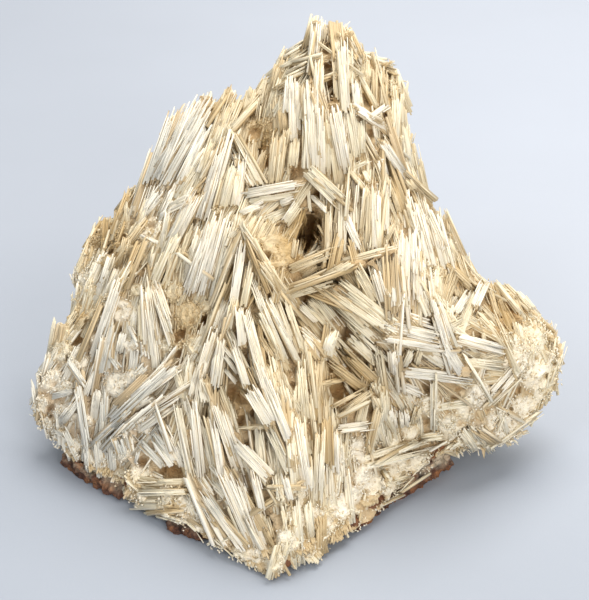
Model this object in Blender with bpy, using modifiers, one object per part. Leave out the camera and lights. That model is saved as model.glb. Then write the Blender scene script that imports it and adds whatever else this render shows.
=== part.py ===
"""Reticulated cerussite: a peaked mass of white blades grown on iron-stained rock, at its real size.

The object rests on the flat underside of its rock, at z = 0. It is in metres, with +Z up and -Y towards the
side that collectors display. The forms of that side are placed by what is seen of them in one photograph: a
place is a pixel of it and a height above the table, and a blade is two pixels laid on the mass.
"""

import math
import random
from collections import namedtuple

import bmesh
import bpy
from mathutils import Matrix, Vector, noise
from mathutils.bvhtree import BVHTree

MM = 0.001

# The photograph: its frame, the point it is aimed at, and the span of one pixel there.
PHOTO_WIDTH = 589
PHOTO_HEIGHT = 600
PIXEL_SPAN = 0.306 * MM
VIEW_DISTANCE = 0.80
VIEW_ELEVATION = math.radians(30)
VIEW_TARGET = Vector((0, 0, 58 * MM))

# Driving dimensions of the two pieces.
CRYSTAL_FLOOR = 1.0 * MM
UNDERCUT = 3.0 * MM
GROUND_SIZE = 400 * MM
MASS_VOXEL = 2.6 * MM
MASS_TRIANGLES = 640
MASS_ROUGHNESS = 1.6 * MM
MASS_ROUGHNESS_SPAN = 9 * MM
ROCK_VOXEL = 2.6 * MM
ROCK_TRIANGLES = 380
ROCK_ROUGHNESS = 1.8 * MM
ROCK_ROUGHNESS_SPAN = 7 * MM
ROUNDING = 0.6
ROUNDING_PASSES = 2
JOINT_GAP = 0.35 * MM

# Blades: how deep a foot is sunk, how far a tip stands out for its length, how flat a lath is, how much its
# tip narrows and slants, and the blades that are scattered over the sides that the photograph doesn't show.
FOOT_SINK = 1.6 * MM
TIP_RISE = 0.07
LATH_FLATNESS = 0.7
BLADE_WIDENING = 1.35
TIP_SHARE = 0.72
TIP_SLANT = 0.9
SCATTERED_BLADES = 68
SCATTER_SPACING = 9 * MM
HOLLOW_MARGIN = 11 * MM
SCATTER_TURN = 0.45
SCATTER_HALF_LENGTH = (7 * MM, 13 * MM)
SCATTER_WIDTH = (3.6 * MM, 6.0 * MM)
SCATTER_STAND = (0.6 * MM, 2.2 * MM)
SCATTER_LOWEST = 4 * MM
SCATTER_STEEPEST = -0.3
SCATTER_SEED = 11

# Where a line of sight passes the mass by, the search for its nearest place: from, to and by, in mm.
PASSING_SEARCH = (-90, 120, 3)

Blade = namedtuple("Blade", "foot tip outward width")


def seen_at(across, down, height_mm):
    """The point at that height, in mm, which the photograph shows at that pixel."""
    start, along = sight_line(across, down)
    return start + along * ((height_mm * MM - start.z) / along.z)


def sight_line(across, down):
    """Start and direction of the line of sight through a pixel of the photograph."""
    forward = Vector((0, math.cos(VIEW_ELEVATION), -math.sin(VIEW_ELEVATION)))
    upward = Vector((0, math.sin(VIEW_ELEVATION), math.cos(VIEW_ELEVATION)))
    eye = VIEW_TARGET - forward * VIEW_DISTANCE
    right = Vector((1, 0, 0)) * (across - PHOTO_WIDTH / 2) * PIXEL_SPAN
    lift = upward * (PHOTO_HEIGHT / 2 - down) * PIXEL_SPAN
    return eye, (forward * VIEW_DISTANCE + right + lift).normalized()


# The crystal mass is the sum of lumps. A lump is the hull of the places that the photograph shows, each a
# pixel and a height in mm, and of hidden places behind and below them, in mm.
LUMPS = {
    "left_buttress": (
        [(203, 102, 100), (228, 104, 102), (164, 140, 92), (152, 176, 84), (132, 204, 74), (98, 262, 57)]
        + [(70, 310, 44), (44, 350, 33), (28, 392, 21), (26, 414, 14), (40, 436, 7), (66, 460, 2)]
        + [(108, 494, 0), (158, 518, 0), (205, 542, 0), (234, 562, 0), (277, 590, 0), (317, 562, 0)]
        + [(342, 532, 0), (238, 150, 96), (250, 230, 82), (268, 300, 67), (284, 380, 50), (294, 460, 32)]
        + [(300, 530, 14)],
        [(-58, 38, 30), (-40, 56, 60), (-30, 62, 90), (-20, 60, 20), (-55, 30, 0), (10, 20, 0), (5, 30, 60)],
    ),
    "left_hump": (
        [(76, 262, 54), (86, 226, 61), (100, 214, 63), (132, 206, 70), (116, 270, 57), (66, 300, 46)],
        [(-50, 44, 40), (-38, 56, 40), (-52, 40, 10), (-40, 56, 10)],
    ),
    "saddle": (
        [(232, 98, 102), (252, 100, 103), (278, 96, 106), (244, 160, 92), (292, 165, 92), (262, 124, 98)],
        [(-20, 66, 80), (-8, 68, 80), (-20, 60, 30), (0, 50, 30)],
    ),
    "summit": (
        [(322, 22, 126), (298, 40, 121), (278, 60, 115), (264, 92, 105), (345, 34, 123), (376, 52, 117)]
        + [(396, 68, 111), (406, 88, 107), (408, 130, 96), (410, 168, 86), (300, 100, 111), (342, 100, 112)]
        + [(300, 160, 96), (350, 164, 94), (385, 160, 94), (272, 150, 98), (309, 205, 85), (350, 205, 84)],
        [(-8, 74, 80), (22, 72, 84), (30, 70, 60), (-18, 72, 60), (34, 66, 8), (-26, 66, 8), (5, 74, 8)],
    ),
    "throat": (
        [(244, 170, 91), (300, 168, 94), (352, 180, 90), (358, 232, 78), (352, 262, 71), (300, 290, 66)]
        + [(262, 300, 66), (246, 240, 78), (286, 208, 85)],
        [(-10, 50, 40), (20, 50, 40), (0, 50, 70), (0, 30, 20)],
    ),
    "right_ridge": (
        [(405, 165, 87), (432, 206, 75), (454, 244, 64), (474, 282, 54), (420, 220, 78), (440, 300, 64)]
        + [(400, 326, 60), (384, 342, 57), (380, 200, 86), (370, 260, 74), (352, 230, 80)],
        [(60, 40, 40), (48, 58, 40), (56, 44, 8), (40, 62, 8), (20, 60, 60), (20, 20, 0), (40, 4, 10)],
    ),
    "right_lobe": (
        [(480, 278, 53), (500, 276, 53), (532, 300, 47), (558, 328, 40), (570, 352, 34), (564, 384, 26)]
        + [(552, 402, 21), (534, 426, 16), (514, 446, 12), (490, 458, 8), (458, 450, 8), (424, 440, 13)]
        + [(385, 424, 25), (384, 344, 54), (392, 400, 36), (440, 310, 61), (470, 380, 39), (520, 360, 39)],
        [(66, 30, 24), (58, 34, 20), (40, 16, 6), (36, 0, 10), (60, 8, 14), (30, 10, 40), (44, 20, 30)],
    ),
    "lobe_root": (
        [(356, 396, 38), (384, 372, 44), (402, 398, 35), (388, 428, 24), (426, 446, 11), (462, 452, 7)]
        + [(414, 468, 3), (382, 490, 3), (350, 440, 27)],
        [(42, 10, 0), (10, 10, 10), (30, 12, 30), (20, 0, 0)],
    ),
    "valley_floor": (
        [(300, 262, 69), (340, 262, 70), (352, 320, 54), (345, 390, 38), (352, 440, 25), (360, 502, 3)]
        + [(338, 528, 3), (318, 562, 1), (296, 548, 9), (384, 490, 3), (414, 468, 3), (440, 452, 5)]
        + [(448, 438, 12), (300, 460, 30), (330, 480, 18), (326, 520, 10)],
        [(20, 30, 0), (0, 30, 60), (42, 10, 4), (-10, 0, 0)],
    ),
}

# Hollows that are cut into the mass: the pixel and height of the mouth, and its half width, half height and
# depth in mm.
HOLLOWS = {
    "central_hole": ((311, 234, 80), (4.8, 7.4, 20)),
    "summit_notch": ((329, 72, 118), (3.4, 8.5, 9)),
    "valley_pocket": ((350, 384, 44), (7.0, 8.0, 9)),
    "buttress_pocket": ((240, 405, 58), (4.5, 6.5, 8)),
    "left_pocket": ((185, 320, 66), (4.5, 6.0, 6)),
    "low_pocket": ((172, 472, 24), (4.0, 2.4, 7)),
}

# The rock, in the same terms as the lumps: the slab that the object rests on, its tongues that reach out from
# under the crystals, and a low rib that climbs the back.
ROCK_LUMPS = {
    "slab": (
        [],
        [(42, 4, 0), (35, -8, 0), (25, -20, 0), (17, -33, 0), (10, -45, 0), (2, -57, 0), (-5, -65, 0)]
        + [(-17, -56, 0), (-25, -43, 0), (-39, -31, 0), (-51, -19, 0), (-57, -7, 0), (-64, 5, 0)]
        + [(-62, 22, 0), (-50, 44, 0), (-24, 64, 0), (12, 68, 0), (44, 58, 0), (62, 34, 0), (60, 14, 0)]
        + [(38, 4, 9), (20, -22, 7), (4, -48, 5), (-5, -58, 4), (-22, -40, 5), (-50, -12, 7), (-58, 8, 9)]
        + [(-56, 24, 11), (-46, 42, 13), (-22, 60, 16), (12, 64, 16), (40, 56, 14), (56, 34, 12)],
    ),
    "far_left_tongue": (
        [(54, 460, 0), (86, 486, 0), (54, 450, 6), (88, 470, 6)],
        [(-50, 10, 0), (-46, -4, 0), (-50, 10, 7), (-46, -4, 7)],
    ),
    "left_tongue": (
        [(92, 490, 0), (118, 504, 0), (94, 474, 6), (118, 488, 6)],
        [(-46, -8, 0), (-42, -16, 0), (-46, -8, 6), (-42, -16, 6)],
    ),
    "front_left_tongue": (
        [(158, 530, 0), (200, 550, 0), (160, 516, 5), (198, 532, 5)],
        [(-32, -30, 0), (-24, -36, 0), (-32, -30, 5), (-24, -36, 5)],
    ),
    "front_right_tongue": (
        [(340, 545, 0), (366, 529, 0), (392, 508, 0), (342, 524, 6), (366, 508, 7), (390, 490, 7)],
        [(8, -30, 0), (20, -18, 0), (8, -30, 7), (20, -18, 7)],
    ),
    "right_tongue": (
        [(396, 504, 0), (430, 482, 0), (456, 464, 0), (398, 482, 8), (430, 458, 10), (460, 440, 12)],
        [(24, -10, 0), (36, 10, 0), (24, -10, 9), (36, 10, 12)],
    ),
    "back_rib": (
        [],
        [(-30, 70, 0), (16, 74, 0), (40, 64, 0), (-22, 71, 22), (4, 75, 28), (26, 69, 20), (0, 50, 18)],
    ),
}

# The larger blades of the display side, each from its foot to its tip in pixels, with its width in mm and
# how far it stands above the mass, in mm.
DISPLAY_BLADES = {
    "left_shoulder": [
        ((155, 170), (203, 95), 3.2, 2.0), ((167, 176), (211, 99), 3.4, 2.0), ((146, 184), (173, 117), 3.0, -1.0),
        ((202, 160), (231, 94), 3.4, -1.0), ((131, 202), (167, 174), 3.2, 0.0), ((177, 194), (209, 160), 3.0, 0.5),
        ((152, 240), (195, 190), 4.4, 1.0), ((191, 210), (230, 133), 3.2, 3.0), ((222, 211), (240, 160), 3.0, 2.0),
        ((262, 182), (233, 132), 2.2, 3.0), ((191, 268), (219, 213), 4.6, 2.0), ((166, 285), (184, 216), 3.2, 0.5),
        ((226, 268), (243, 222), 3.4, 2.0), ((148, 279), (179, 213), 3.4, 0.5), ((104, 284), (131, 238), 3.6, 0.5),
    ],
    "summit": [
        ((312, 66), (318, 22), 2.6, 1.0), ((279, 72), (305, 42), 3.6, -0.5), ((264, 94), (283, 54), 3.0, -1.0),
        ((317, 86), (322, 56), 2.8, 2.0), ((309, 170), (309, 84), 3.8, 2.0), ((321, 170), (318, 88), 2.8, 2.0),
        ((342, 100), (341, 36), 4.0, 1.5), ((350, 156), (341, 99), 3.4, 2.0), ((362, 156), (354, 80), 3.2, 1.5),
        ((339, 172), (334, 103), 3.0, 2.5), ((382, 108), (377, 66), 2.8, 0.0), ((393, 113), (386, 64), 2.8, 0.0),
        ((404, 128), (400, 76), 2.8, -0.5), ((359, 110), (401, 137), 2.0, 3.5), ((294, 128), (291, 76), 3.2, 1.0),
        ((265, 164), (284, 132), 3.2, 0.5), ((410, 183), (383, 143), 3.2, 1.5), ((392, 152), (397, 112), 3.4, 0.0),
    ],
    "round_the_hole": [
        ((245, 192), (307, 181), 2.6, 1.5), ((291, 162), (342, 201), 3.6, 2.5), ((326, 253), (331, 206), 3.0, 1.5),
        ((338, 249), (349, 189), 2.8, 2.5), ((362, 243), (367, 176), 3.0, 1.5), ((379, 252), (381, 180), 4.0, 2.0),
        ((296, 263), (346, 248), 2.8, 1.5), ((291, 291), (390, 250), 2.2, 2.5), ((255, 250), (267, 212), 5.0, -1.5),
        ((275, 308), (240, 221), 2.0, 2.5), ((294, 312), (264, 264), 3.6, 1.5), ((360, 257), (345, 220), 2.2, 2.0),
    ],
    "right_ridge": [
        ((372, 200), (380, 144), 3.0, 1.0), ((401, 248), (393, 172), 3.0, 2.0), ((424, 284), (412, 206), 3.2, 3.0),
        ((443, 219), (409, 187), 3.2, 1.0), ((441, 250), (424, 213), 3.6, 1.0), ((463, 262), (443, 222), 3.0, 0.0),
        ((475, 277), (458, 246), 2.6, 0.0), ((399, 308), (376, 266), 3.8, 2.5), ((403, 308), (398, 250), 3.4, 2.0),
        ((420, 312), (417, 250), 3.4, 2.5), ((433, 316), (428, 268), 3.2, 2.0), ((454, 369), (435, 296), 4.2, 4.0),
        ((378, 308), (357, 268), 3.2, 0.5), ((472, 288), (447, 264), 3.2, 0.5), ((470, 310), (486, 280), 3.6, 0.5),
    ],
    "valley": [
        ((387, 320), (334, 281), 2.8, 1.5), ((384, 333), (327, 291), 3.0, 2.0), ((387, 353), (349, 307), 3.6, 1.0),
        ((382, 376), (347, 336), 3.0, 1.0), ((366, 388), (328, 357), 3.2, 1.5), ((324, 356), (334, 326), 2.8, 2.5),
        ((346, 371), (323, 380), 2.4, 1.0), ((337, 403), (366, 384), 2.4, 0.5), ((345, 413), (370, 398), 3.2, 1.0),
        ((325, 349), (300, 330), 2.6, 2.0), ((306, 404), (304, 346), 3.4, 2.0), ((316, 428), (308, 370), 3.8, 2.0),
        ((304, 474), (302, 416), 3.6, 1.5), ((323, 463), (321, 420), 3.2, 1.5), ((335, 463), (338, 434), 2.8, 1.0),
        ((370, 460), (418, 441), 3.0, 0.5), ((374, 425), (345, 426), 3.0, 1.5), ((311, 516), (302, 448), 3.8, 1.0),
    ],
    "right_lobe": [
        ((387, 331), (441, 340), 4.6, 2.0), ((390, 343), (442, 349), 3.0, 2.5), ((407, 367), (466, 379), 3.0, 2.0),
        ((399, 371), (398, 350), 3.6, 3.0), ((508, 353), (457, 337), 3.0, 1.5), ((523, 324), (494, 281), 3.0, 0.5),
        ((531, 312), (516, 293), 3.0, 0.0), ((505, 346), (483, 303), 3.6, -1.0), ((546, 339), (535, 315), 3.6, 0.5),
        ((496, 397), (523, 369), 3.0, 1.5), ((489, 394), (470, 364), 3.4, 2.0), ((434, 421), (437, 376), 3.2, 2.0),
        ((385, 420), (384, 390), 3.2, 2.0), ((380, 408), (365, 388), 3.0, 2.0), ((500, 414), (513, 392), 3.2, 1.5),
        ((540, 392), (556, 352), 3.4, 1.0), ((470, 430), (478, 396), 3.2, 1.0), ((455, 436), (450, 404), 3.0, 1.0),
    ],
    "buttress_face": [
        ((203, 362), (219, 309), 3.2, 2.5), ((215, 379), (236, 305), 2.8, 3.0), ((232, 342), (246, 300), 2.8, 2.0),
        ((192, 393), (207, 362), 3.0, 1.0), ((229, 436), (208, 380), 4.0, 2.5), ((265, 477), (232, 433), 3.0, 3.0),
        ((251, 390), (233, 343), 2.4, 3.0), ((270, 423), (249, 388), 3.0, 4.0), ((287, 441), (258, 385), 3.0, 2.5),
        ((278, 412), (247, 339), 3.4, 2.0), ((291, 362), (260, 305), 2.8, 1.5), ((300, 365), (269, 302), 2.4, 1.0),
        ((258, 452), (254, 428), 3.0, -1.0), ((199, 462), (190, 397), 3.0, 2.0), ((176, 396), (118, 432), 3.6, 2.5),
        ((171, 367), (112, 418), 3.4, 1.5), ((160, 334), (148, 282), 3.2, 1.5), ((142, 380), (142, 331), 2.8, 1.5),
        ((83, 352), (133, 266), 3.0, 1.5), ((100, 382), (107, 335), 3.0, 1.0), ((83, 388), (71, 360), 2.2, 2.0),
    ],
    "foot": [
        ((87, 427), (80, 387), 2.8, 1.5), ((77, 459), (64, 428), 2.8, 0.5), ((95, 476), (85, 440), 2.8, 1.0),
        ((178, 464), (163, 434), 3.0, 2.0), ((163, 458), (146, 438), 2.8, 1.0), ((194, 482), (183, 428), 2.8, 2.0),
        ((225, 464), (217, 428), 3.4, 1.5), ((258, 539), (225, 469), 3.6, 2.5), ((245, 547), (222, 472), 3.2, 2.0),
        ((231, 515), (199, 483), 3.2, 1.5), ((209, 519), (187, 485), 2.8, 1.5), ((236, 545), (207, 508), 3.0, 1.0),
        ((264, 509), (255, 469), 2.2, 2.0), ((287, 501), (273, 477), 3.2, 1.5), ((297, 492), (293, 430), 4.0, 1.5),
        ((315, 507), (303, 490), 3.0, 1.0), ((284, 548), (268, 512), 3.2, 1.0), ((142, 506), (128, 470), 3.0, 1.0),
    ],
}

BLADE_COLOUR = (0.80, 0.73, 0.58, 1.0)
ROCK_COLOUR = (0.26, 0.12, 0.06, 1.0)


def clear_scene():
    for thing in list(bpy.data.objects):
        bpy.data.objects.remove(thing, do_unlink=True)


def collection(name):
    made = bpy.data.collections.new(name)
    bpy.context.scene.collection.children.link(made)
    return made


def material(name, colour, roughness):
    made = bpy.data.materials.new(name)
    made.use_nodes = True
    shader = made.node_tree.nodes["Principled BSDF"]
    shader.inputs["Base Color"].default_value = colour
    shader.inputs["Roughness"].default_value = roughness
    return made


def object_of(bm, name, home):
    mesh = bpy.data.meshes.new(name)
    bm.to_mesh(mesh)
    bm.free()
    made = bpy.data.objects.new(name, mesh)
    home.objects.link(made)
    return made


def settled(thing, name, home):
    """A new object with this one's evaluated mesh, in place of it."""
    bpy.context.view_layer.update()
    graph = bpy.context.evaluated_depsgraph_get()
    mesh = bpy.data.meshes.new_from_object(thing.evaluated_get(graph))
    bpy.data.objects.remove(thing, do_unlink=True)
    made = bpy.data.objects.new(name, mesh)
    home.objects.link(made)
    return made


def hull_into(bm, points):
    """Adds the convex hull of some points to a bmesh."""
    corners = [bm.verts.new(point) for point in points]
    made = bmesh.ops.convex_hull(bm, input=corners)
    spare = [item for item in made["geom_interior"] if isinstance(item, bmesh.types.BMVert)]
    bmesh.ops.delete(bm, geom=spare, context="VERTS")


def fused_lumps(lumps, name, voxel, home):
    """The hulls of some lumps, grown together into one rounded skin that reaches below the table."""
    bm = bmesh.new()
    for seen, hidden in lumps.values():
        places = [seen_at(*place) for place in seen] + [Vector(place) * MM for place in hidden]
        for place in places:
            if place.z < MM:
                place.z -= UNDERCUT
        hull_into(bm, places)
    fused = object_of(bm, name, home)
    remesh = fused.modifiers.new("fuse", "REMESH")
    remesh.mode = "VOXEL"
    remesh.voxel_size = voxel
    smooth = fused.modifiers.new("round", "SMOOTH")
    smooth.factor = ROUNDING
    smooth.iterations = ROUNDING_PASSES
    return settled(fused, name, home)


def roughen(thing, depth, span, seed):
    """Moves each point along its normal by a smooth noise, so that no face is even."""
    away = Vector((seed, seed, seed))
    for vertex in thing.data.vertices:
        swing = noise.noise(vertex.co / span + away) + 0.5 * noise.noise(vertex.co * 2.3 / span + away)
        vertex.co += vertex.normal * depth * swing


def thinned(thing, triangles, name, home):
    """The same skin with about this many faces, which leaves it facetted like broken rock."""
    decimate = thing.modifiers.new("facets", "DECIMATE")
    decimate.ratio = triangles / (2 * len(thing.data.polygons))
    return settled(thing, name, home)


def boolean(thing, other, operation):
    step = thing.modifiers.new(operation.lower(), "BOOLEAN")
    step.operation = operation
    step.solver = "EXACT"
    step.object = other


def ground(height, helpers):
    """A block that takes away all that lies under a height."""
    bm = bmesh.new()
    bmesh.ops.create_cube(bm, size=GROUND_SIZE)
    bm.transform(Matrix.Translation((0, 0, height - GROUND_SIZE / 2)))
    return object_of(bm, "ground", helpers)


def hollow_cutter(mouth, half_size, home):
    """An egg-shaped cutter, pushed into the mass along the line of sight through its mouth."""
    across, down, height = mouth
    place = seen_at(across, down, height)
    inward = sight_line(across, down)[1]
    bm = bmesh.new()
    bmesh.ops.create_icosphere(bm, subdivisions=1, radius=1.0)
    size = Matrix.Diagonal((half_size[0] * MM, half_size[1] * MM, half_size[2] * MM, 1.0))
    turn = inward.to_track_quat("Z", "Y").to_matrix().to_4x4()
    bm.transform(Matrix.Translation(place) @ turn @ size)
    return object_of(bm, "hollow", home)


def lath_into(bm, foot, tip, outward, width):
    """Adds a flat four-sided blade to a bmesh, with its broad side outward and its tip narrowed to a slant."""
    axis = (tip - foot).normalized()
    side = axis.cross(outward).normalized()
    up = side.cross(axis)
    made = bmesh.ops.create_cone(
        bm,
        cap_ends=True,
        segments=4,
        radius1=width * math.sqrt(0.5),
        radius2=width * math.sqrt(0.5) * TIP_SHARE,
        depth=(tip - foot).length,
    )
    square = Matrix.Rotation(math.radians(45), 4, "Z")
    flat = Matrix.Diagonal((1.0, LATH_FLATNESS, 1.0, 1.0))
    turn = Matrix((side, up, axis)).transposed().to_4x4()
    place = Matrix.Translation((foot + tip) / 2) @ turn @ flat @ square
    bmesh.ops.transform(bm, matrix=place, verts=made["verts"])
    for vertex in made["verts"]:
        if (vertex.co - foot).dot(axis) > (vertex.co - tip).dot(-axis):
            vertex.co -= axis * (vertex.co - tip).dot(side + up) * TIP_SLANT


def place_on(skin, pixel):
    """The place of the skin that a pixel shows, its normal, and the direction in which it is seen."""
    start, along = sight_line(*pixel)
    place, normal = skin.ray_cast(start, along)[:2]
    if place is None:
        steps = [start + along * (VIEW_DISTANCE + step * MM) for step in range(*PASSING_SEARCH)]
        place = min(steps, key=lambda step: skin.find_nearest(step)[3])
        normal = skin.find_nearest(place)[1]
    return place, normal, along


def display_blades(skin):
    """The larger blades of the display side, laid on the mass.

    A foot is sunk, and a tip is raised, along the line of sight, so that both stay on their pixels.
    """
    blades = []
    for group in DISPLAY_BLADES.values():
        for foot_pixel, tip_pixel, width, stand in group:
            foot, foot_normal, foot_sight = place_on(skin, foot_pixel)
            tip, tip_normal, tip_sight = place_on(skin, tip_pixel)
            rise = stand * MM + TIP_RISE * (tip - foot).length
            foot = foot + foot_sight * (FOOT_SINK - stand * MM / 2)
            tip = tip - tip_sight * rise
            outward = (foot_normal + tip_normal).normalized()
            blades.append(Blade(foot, tip, outward, width * BLADE_WIDENING * MM))
    return blades


def scattered_blades(skin, mass, blades):
    """Covers the rest of the mass. Each blade nearly follows its neighbour, so that they stand in sheaves."""
    draw = random.Random(SCATTER_SEED)
    faces = [face for face in mass.data.polygons if face.center.z > SCATTER_LOWEST]
    areas = [face.area for face in faces]
    mouths = [seen_at(*mouth) for mouth, _ in HOLLOWS.values()]
    wanted = len(blades) + SCATTERED_BLADES
    while len(blades) < wanted:
        face = draw.choices(faces, areas)[0]
        place, outward = face.center.copy(), face.normal.copy()
        neighbour = min(blades, key=lambda blade: (middle_of(blade) - place).length)
        if (middle_of(neighbour) - place).length < SCATTER_SPACING or outward.z < SCATTER_STEEPEST:
            continue
        if min((mouth - place).length for mouth in mouths) < HOLLOW_MARGIN:
            continue
        along = neighbour.tip - neighbour.foot
        along = (along - outward * along.dot(outward)).normalized()
        along = Matrix.Rotation(draw.gauss(0, SCATTER_TURN), 3, outward) @ along
        half = draw.uniform(*SCATTER_HALF_LENGTH)
        foot = skin.find_nearest(place - along * half)[0] - outward * FOOT_SINK
        tip = skin.find_nearest(place + along * half)[0] + outward * draw.uniform(*SCATTER_STAND)
        if tip.z > SCATTER_LOWEST:
            blades.append(Blade(foot, tip, outward, draw.uniform(*SCATTER_WIDTH)))
    return blades


def middle_of(blade):
    return (blade.foot + blade.tip) / 2


def clear_of_each_other(blades):
    """Sorts the blades into layers, in each of which none touches another."""
    layers = []
    for blade in blades:
        reach = (blade.tip - blade.foot).length / 2 + blade.width
        for layer in layers:
            gaps = [
                (middle_of(other) - middle_of(blade)).length - (other.tip - other.foot).length / 2 - other.width
                for other in layer
            ]
            if min(gaps) > reach:
                layer.append(blade)
                break
        else:
            layers.append([blade])
    return layers


def keep_largest_shell(thing):
    """Drops loose crumbs, and the skins of pockets that crossing blades seal off, which fills them."""
    bm = bmesh.new()
    bm.from_mesh(thing.data)
    bm.faces.ensure_lookup_table()
    shells, seen = [], set()
    for start in bm.faces:
        if start.index in seen:
            continue
        shell, edge_of_search = [], [start]
        seen.add(start.index)
        while edge_of_search:
            face = edge_of_search.pop()
            shell.append(face)
            for neighbour in {near for edge in face.edges for near in edge.link_faces}:
                if neighbour.index not in seen:
                    seen.add(neighbour.index)
                    edge_of_search.append(neighbour)
        shells.append(shell)
    shells.sort(key=len)
    spare = [face for shell in shells[:-1] for face in shell]
    bmesh.ops.delete(bm, geom=spare, context="FACES")
    bm.to_mesh(thing.data)
    bm.free()


def centre_on_origin(things):
    """Moves the pieces together, so that the middle of their common underside is the origin."""
    corners = [vertex.co for thing in things for vertex in thing.data.vertices]
    lowest = Vector([min(corner[axis] for corner in corners) for axis in range(3)])
    highest = Vector([max(corner[axis] for corner in corners) for axis in range(3)])
    middle = (lowest + highest) / 2
    for thing in things:
        thing.data.transform(Matrix.Translation((-middle.x, -middle.y, -lowest.z)))


def build_rock(home, helpers):
    """The iron-stained rock that the crystals grew on, with the flat underside that the object rests on."""
    rock = fused_lumps(ROCK_LUMPS, "rock", ROCK_VOXEL, home)
    roughen(rock, ROCK_ROUGHNESS, ROCK_ROUGHNESS_SPAN, 3.0)
    rock = thinned(rock, ROCK_TRIANGLES, "rock", home)
    boolean(rock, ground(0.0, helpers), "DIFFERENCE")
    rock = settled(rock, "matrix", home)
    keep_largest_shell(rock)
    return rock


def build_mass(helpers):
    """The crystal mass with its hollows, before its blades, and the fine skin that those are laid on."""
    mass = fused_lumps(LUMPS, "mass", MASS_VOXEL, helpers)
    roughen(mass, MASS_ROUGHNESS, MASS_ROUGHNESS_SPAN, 8.0)
    skin = BVHTree.FromObject(mass, bpy.context.evaluated_depsgraph_get())
    mass = thinned(mass, MASS_TRIANGLES, "mass", helpers)
    for mouth, half_size in HOLLOWS.values():
        boolean(mass, hollow_cutter(mouth, half_size, helpers), "DIFFERENCE")
    return settled(mass, "mass", helpers), skin


def grown_with(mass, blades, helpers):
    """The mass with its blades fused to it, one layer of blades after another."""
    for layer in clear_of_each_other(blades):
        bm = bmesh.new()
        for blade in layer:
            lath_into(bm, *blade)
        boolean(mass, object_of(bm, "blades", helpers), "UNION")
        mass = settled(mass, "mass", helpers)
        keep_largest_shell(mass)
    return mass


def seat_of(rock, helpers):
    """A cutter a little larger than the rock, so that the crystals nearly touch it."""
    seat = rock.copy()
    seat.data = rock.data.copy()
    seat.name = "seat"
    helpers.objects.link(seat)
    for vertex in seat.data.vertices:
        vertex.co += vertex.normal * JOINT_GAP
    return seat


def build_crystals(rock, home, helpers):
    """The whole crystal growth in one solid: the mass, its hollows and its blades, seated on the rock."""
    mass, skin = build_mass(helpers)
    blades = scattered_blades(skin, mass, display_blades(skin))
    mass = grown_with(mass, blades, helpers)
    boolean(mass, seat_of(rock, helpers), "DIFFERENCE")
    boolean(mass, ground(CRYSTAL_FLOOR, helpers), "DIFFERENCE")
    crystals = settled(mass, "crystals", home)
    keep_largest_shell(crystals)
    return crystals


def main():
    clear_scene()
    home = collection("cerussite_specimen")
    helpers = collection("cutters")
    rock = build_rock(home, helpers)
    crystals = build_crystals(rock, home, helpers)
    crystals.data.materials.append(material("cerussite", BLADE_COLOUR, 0.45))
    rock.data.materials.append(material("iron_stained_rock", ROCK_COLOUR, 0.85))
    centre_on_origin([rock, crystals])
    for helper in helpers.objects:
        helper.hide_render = True
        helper.display_type = "WIRE"


main()
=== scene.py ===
"""Reticulated cerussite, dressed: sheaves of striated laths, druse, stained rock, and a pale studio.

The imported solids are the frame. The crystal mass becomes a drusy core with thousands of laths laid on it,
and the rock a rough copy of itself. The sheaves of the display side are placed by the two pixels at which
the photograph shows their foot and their tip. Those of the other sides grow by rule.
"""

import math
from collections import namedtuple

import bmesh
import bpy
import numpy as np
from bpy.props import FloatProperty, FloatVectorProperty, PointerProperty
from bpy.types import Operator, Panel, PropertyGroup
from mathutils import Matrix, Vector, noise
from mathutils.bvhtree import BVHTree


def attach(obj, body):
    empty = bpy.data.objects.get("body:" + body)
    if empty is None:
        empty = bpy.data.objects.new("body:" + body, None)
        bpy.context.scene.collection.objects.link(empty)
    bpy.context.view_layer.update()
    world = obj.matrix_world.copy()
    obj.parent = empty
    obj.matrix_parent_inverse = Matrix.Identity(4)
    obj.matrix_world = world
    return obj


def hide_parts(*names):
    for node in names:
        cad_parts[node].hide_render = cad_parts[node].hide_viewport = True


bl_info = {
    "name": "Cerussite Specimen",
    "version": (1, 0, 0),
    "blender": (4, 5, 0),
    "location": "3D View > Sidebar > Cerussite",
    "description": "Dresses the cerussite specimen with laths, druse, stained rock and a studio",
    "category": "Object",
}

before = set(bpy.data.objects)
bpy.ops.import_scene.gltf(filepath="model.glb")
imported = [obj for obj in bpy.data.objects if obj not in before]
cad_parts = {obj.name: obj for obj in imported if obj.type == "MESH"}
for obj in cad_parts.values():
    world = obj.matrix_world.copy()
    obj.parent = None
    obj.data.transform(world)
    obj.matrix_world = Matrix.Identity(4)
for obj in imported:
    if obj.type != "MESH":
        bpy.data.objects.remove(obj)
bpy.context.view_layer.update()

# Lengths are in metres, and TINY counts as nothing.
MM = 0.001
TINY = 1e-9

# The photograph: its frame, the span of one pixel at the point it is aimed at, and its camera.
# PASSING_SEARCH says where, along a line of sight that passes the mass, its nearest place is looked for:
# from, to and step, in mm beyond that point.
PHOTO_WIDTH = 589
PHOTO_HEIGHT = 600
PIXEL_SPAN = 0.306 * MM
VIEW_DISTANCE = 0.80
VIEW_ELEVATION = math.radians(30)
VIEW_TARGET = Vector((-0.0002, -0.0046, 0.058))
PASSING_SEARCH = (-90, 120, 3)

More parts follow.
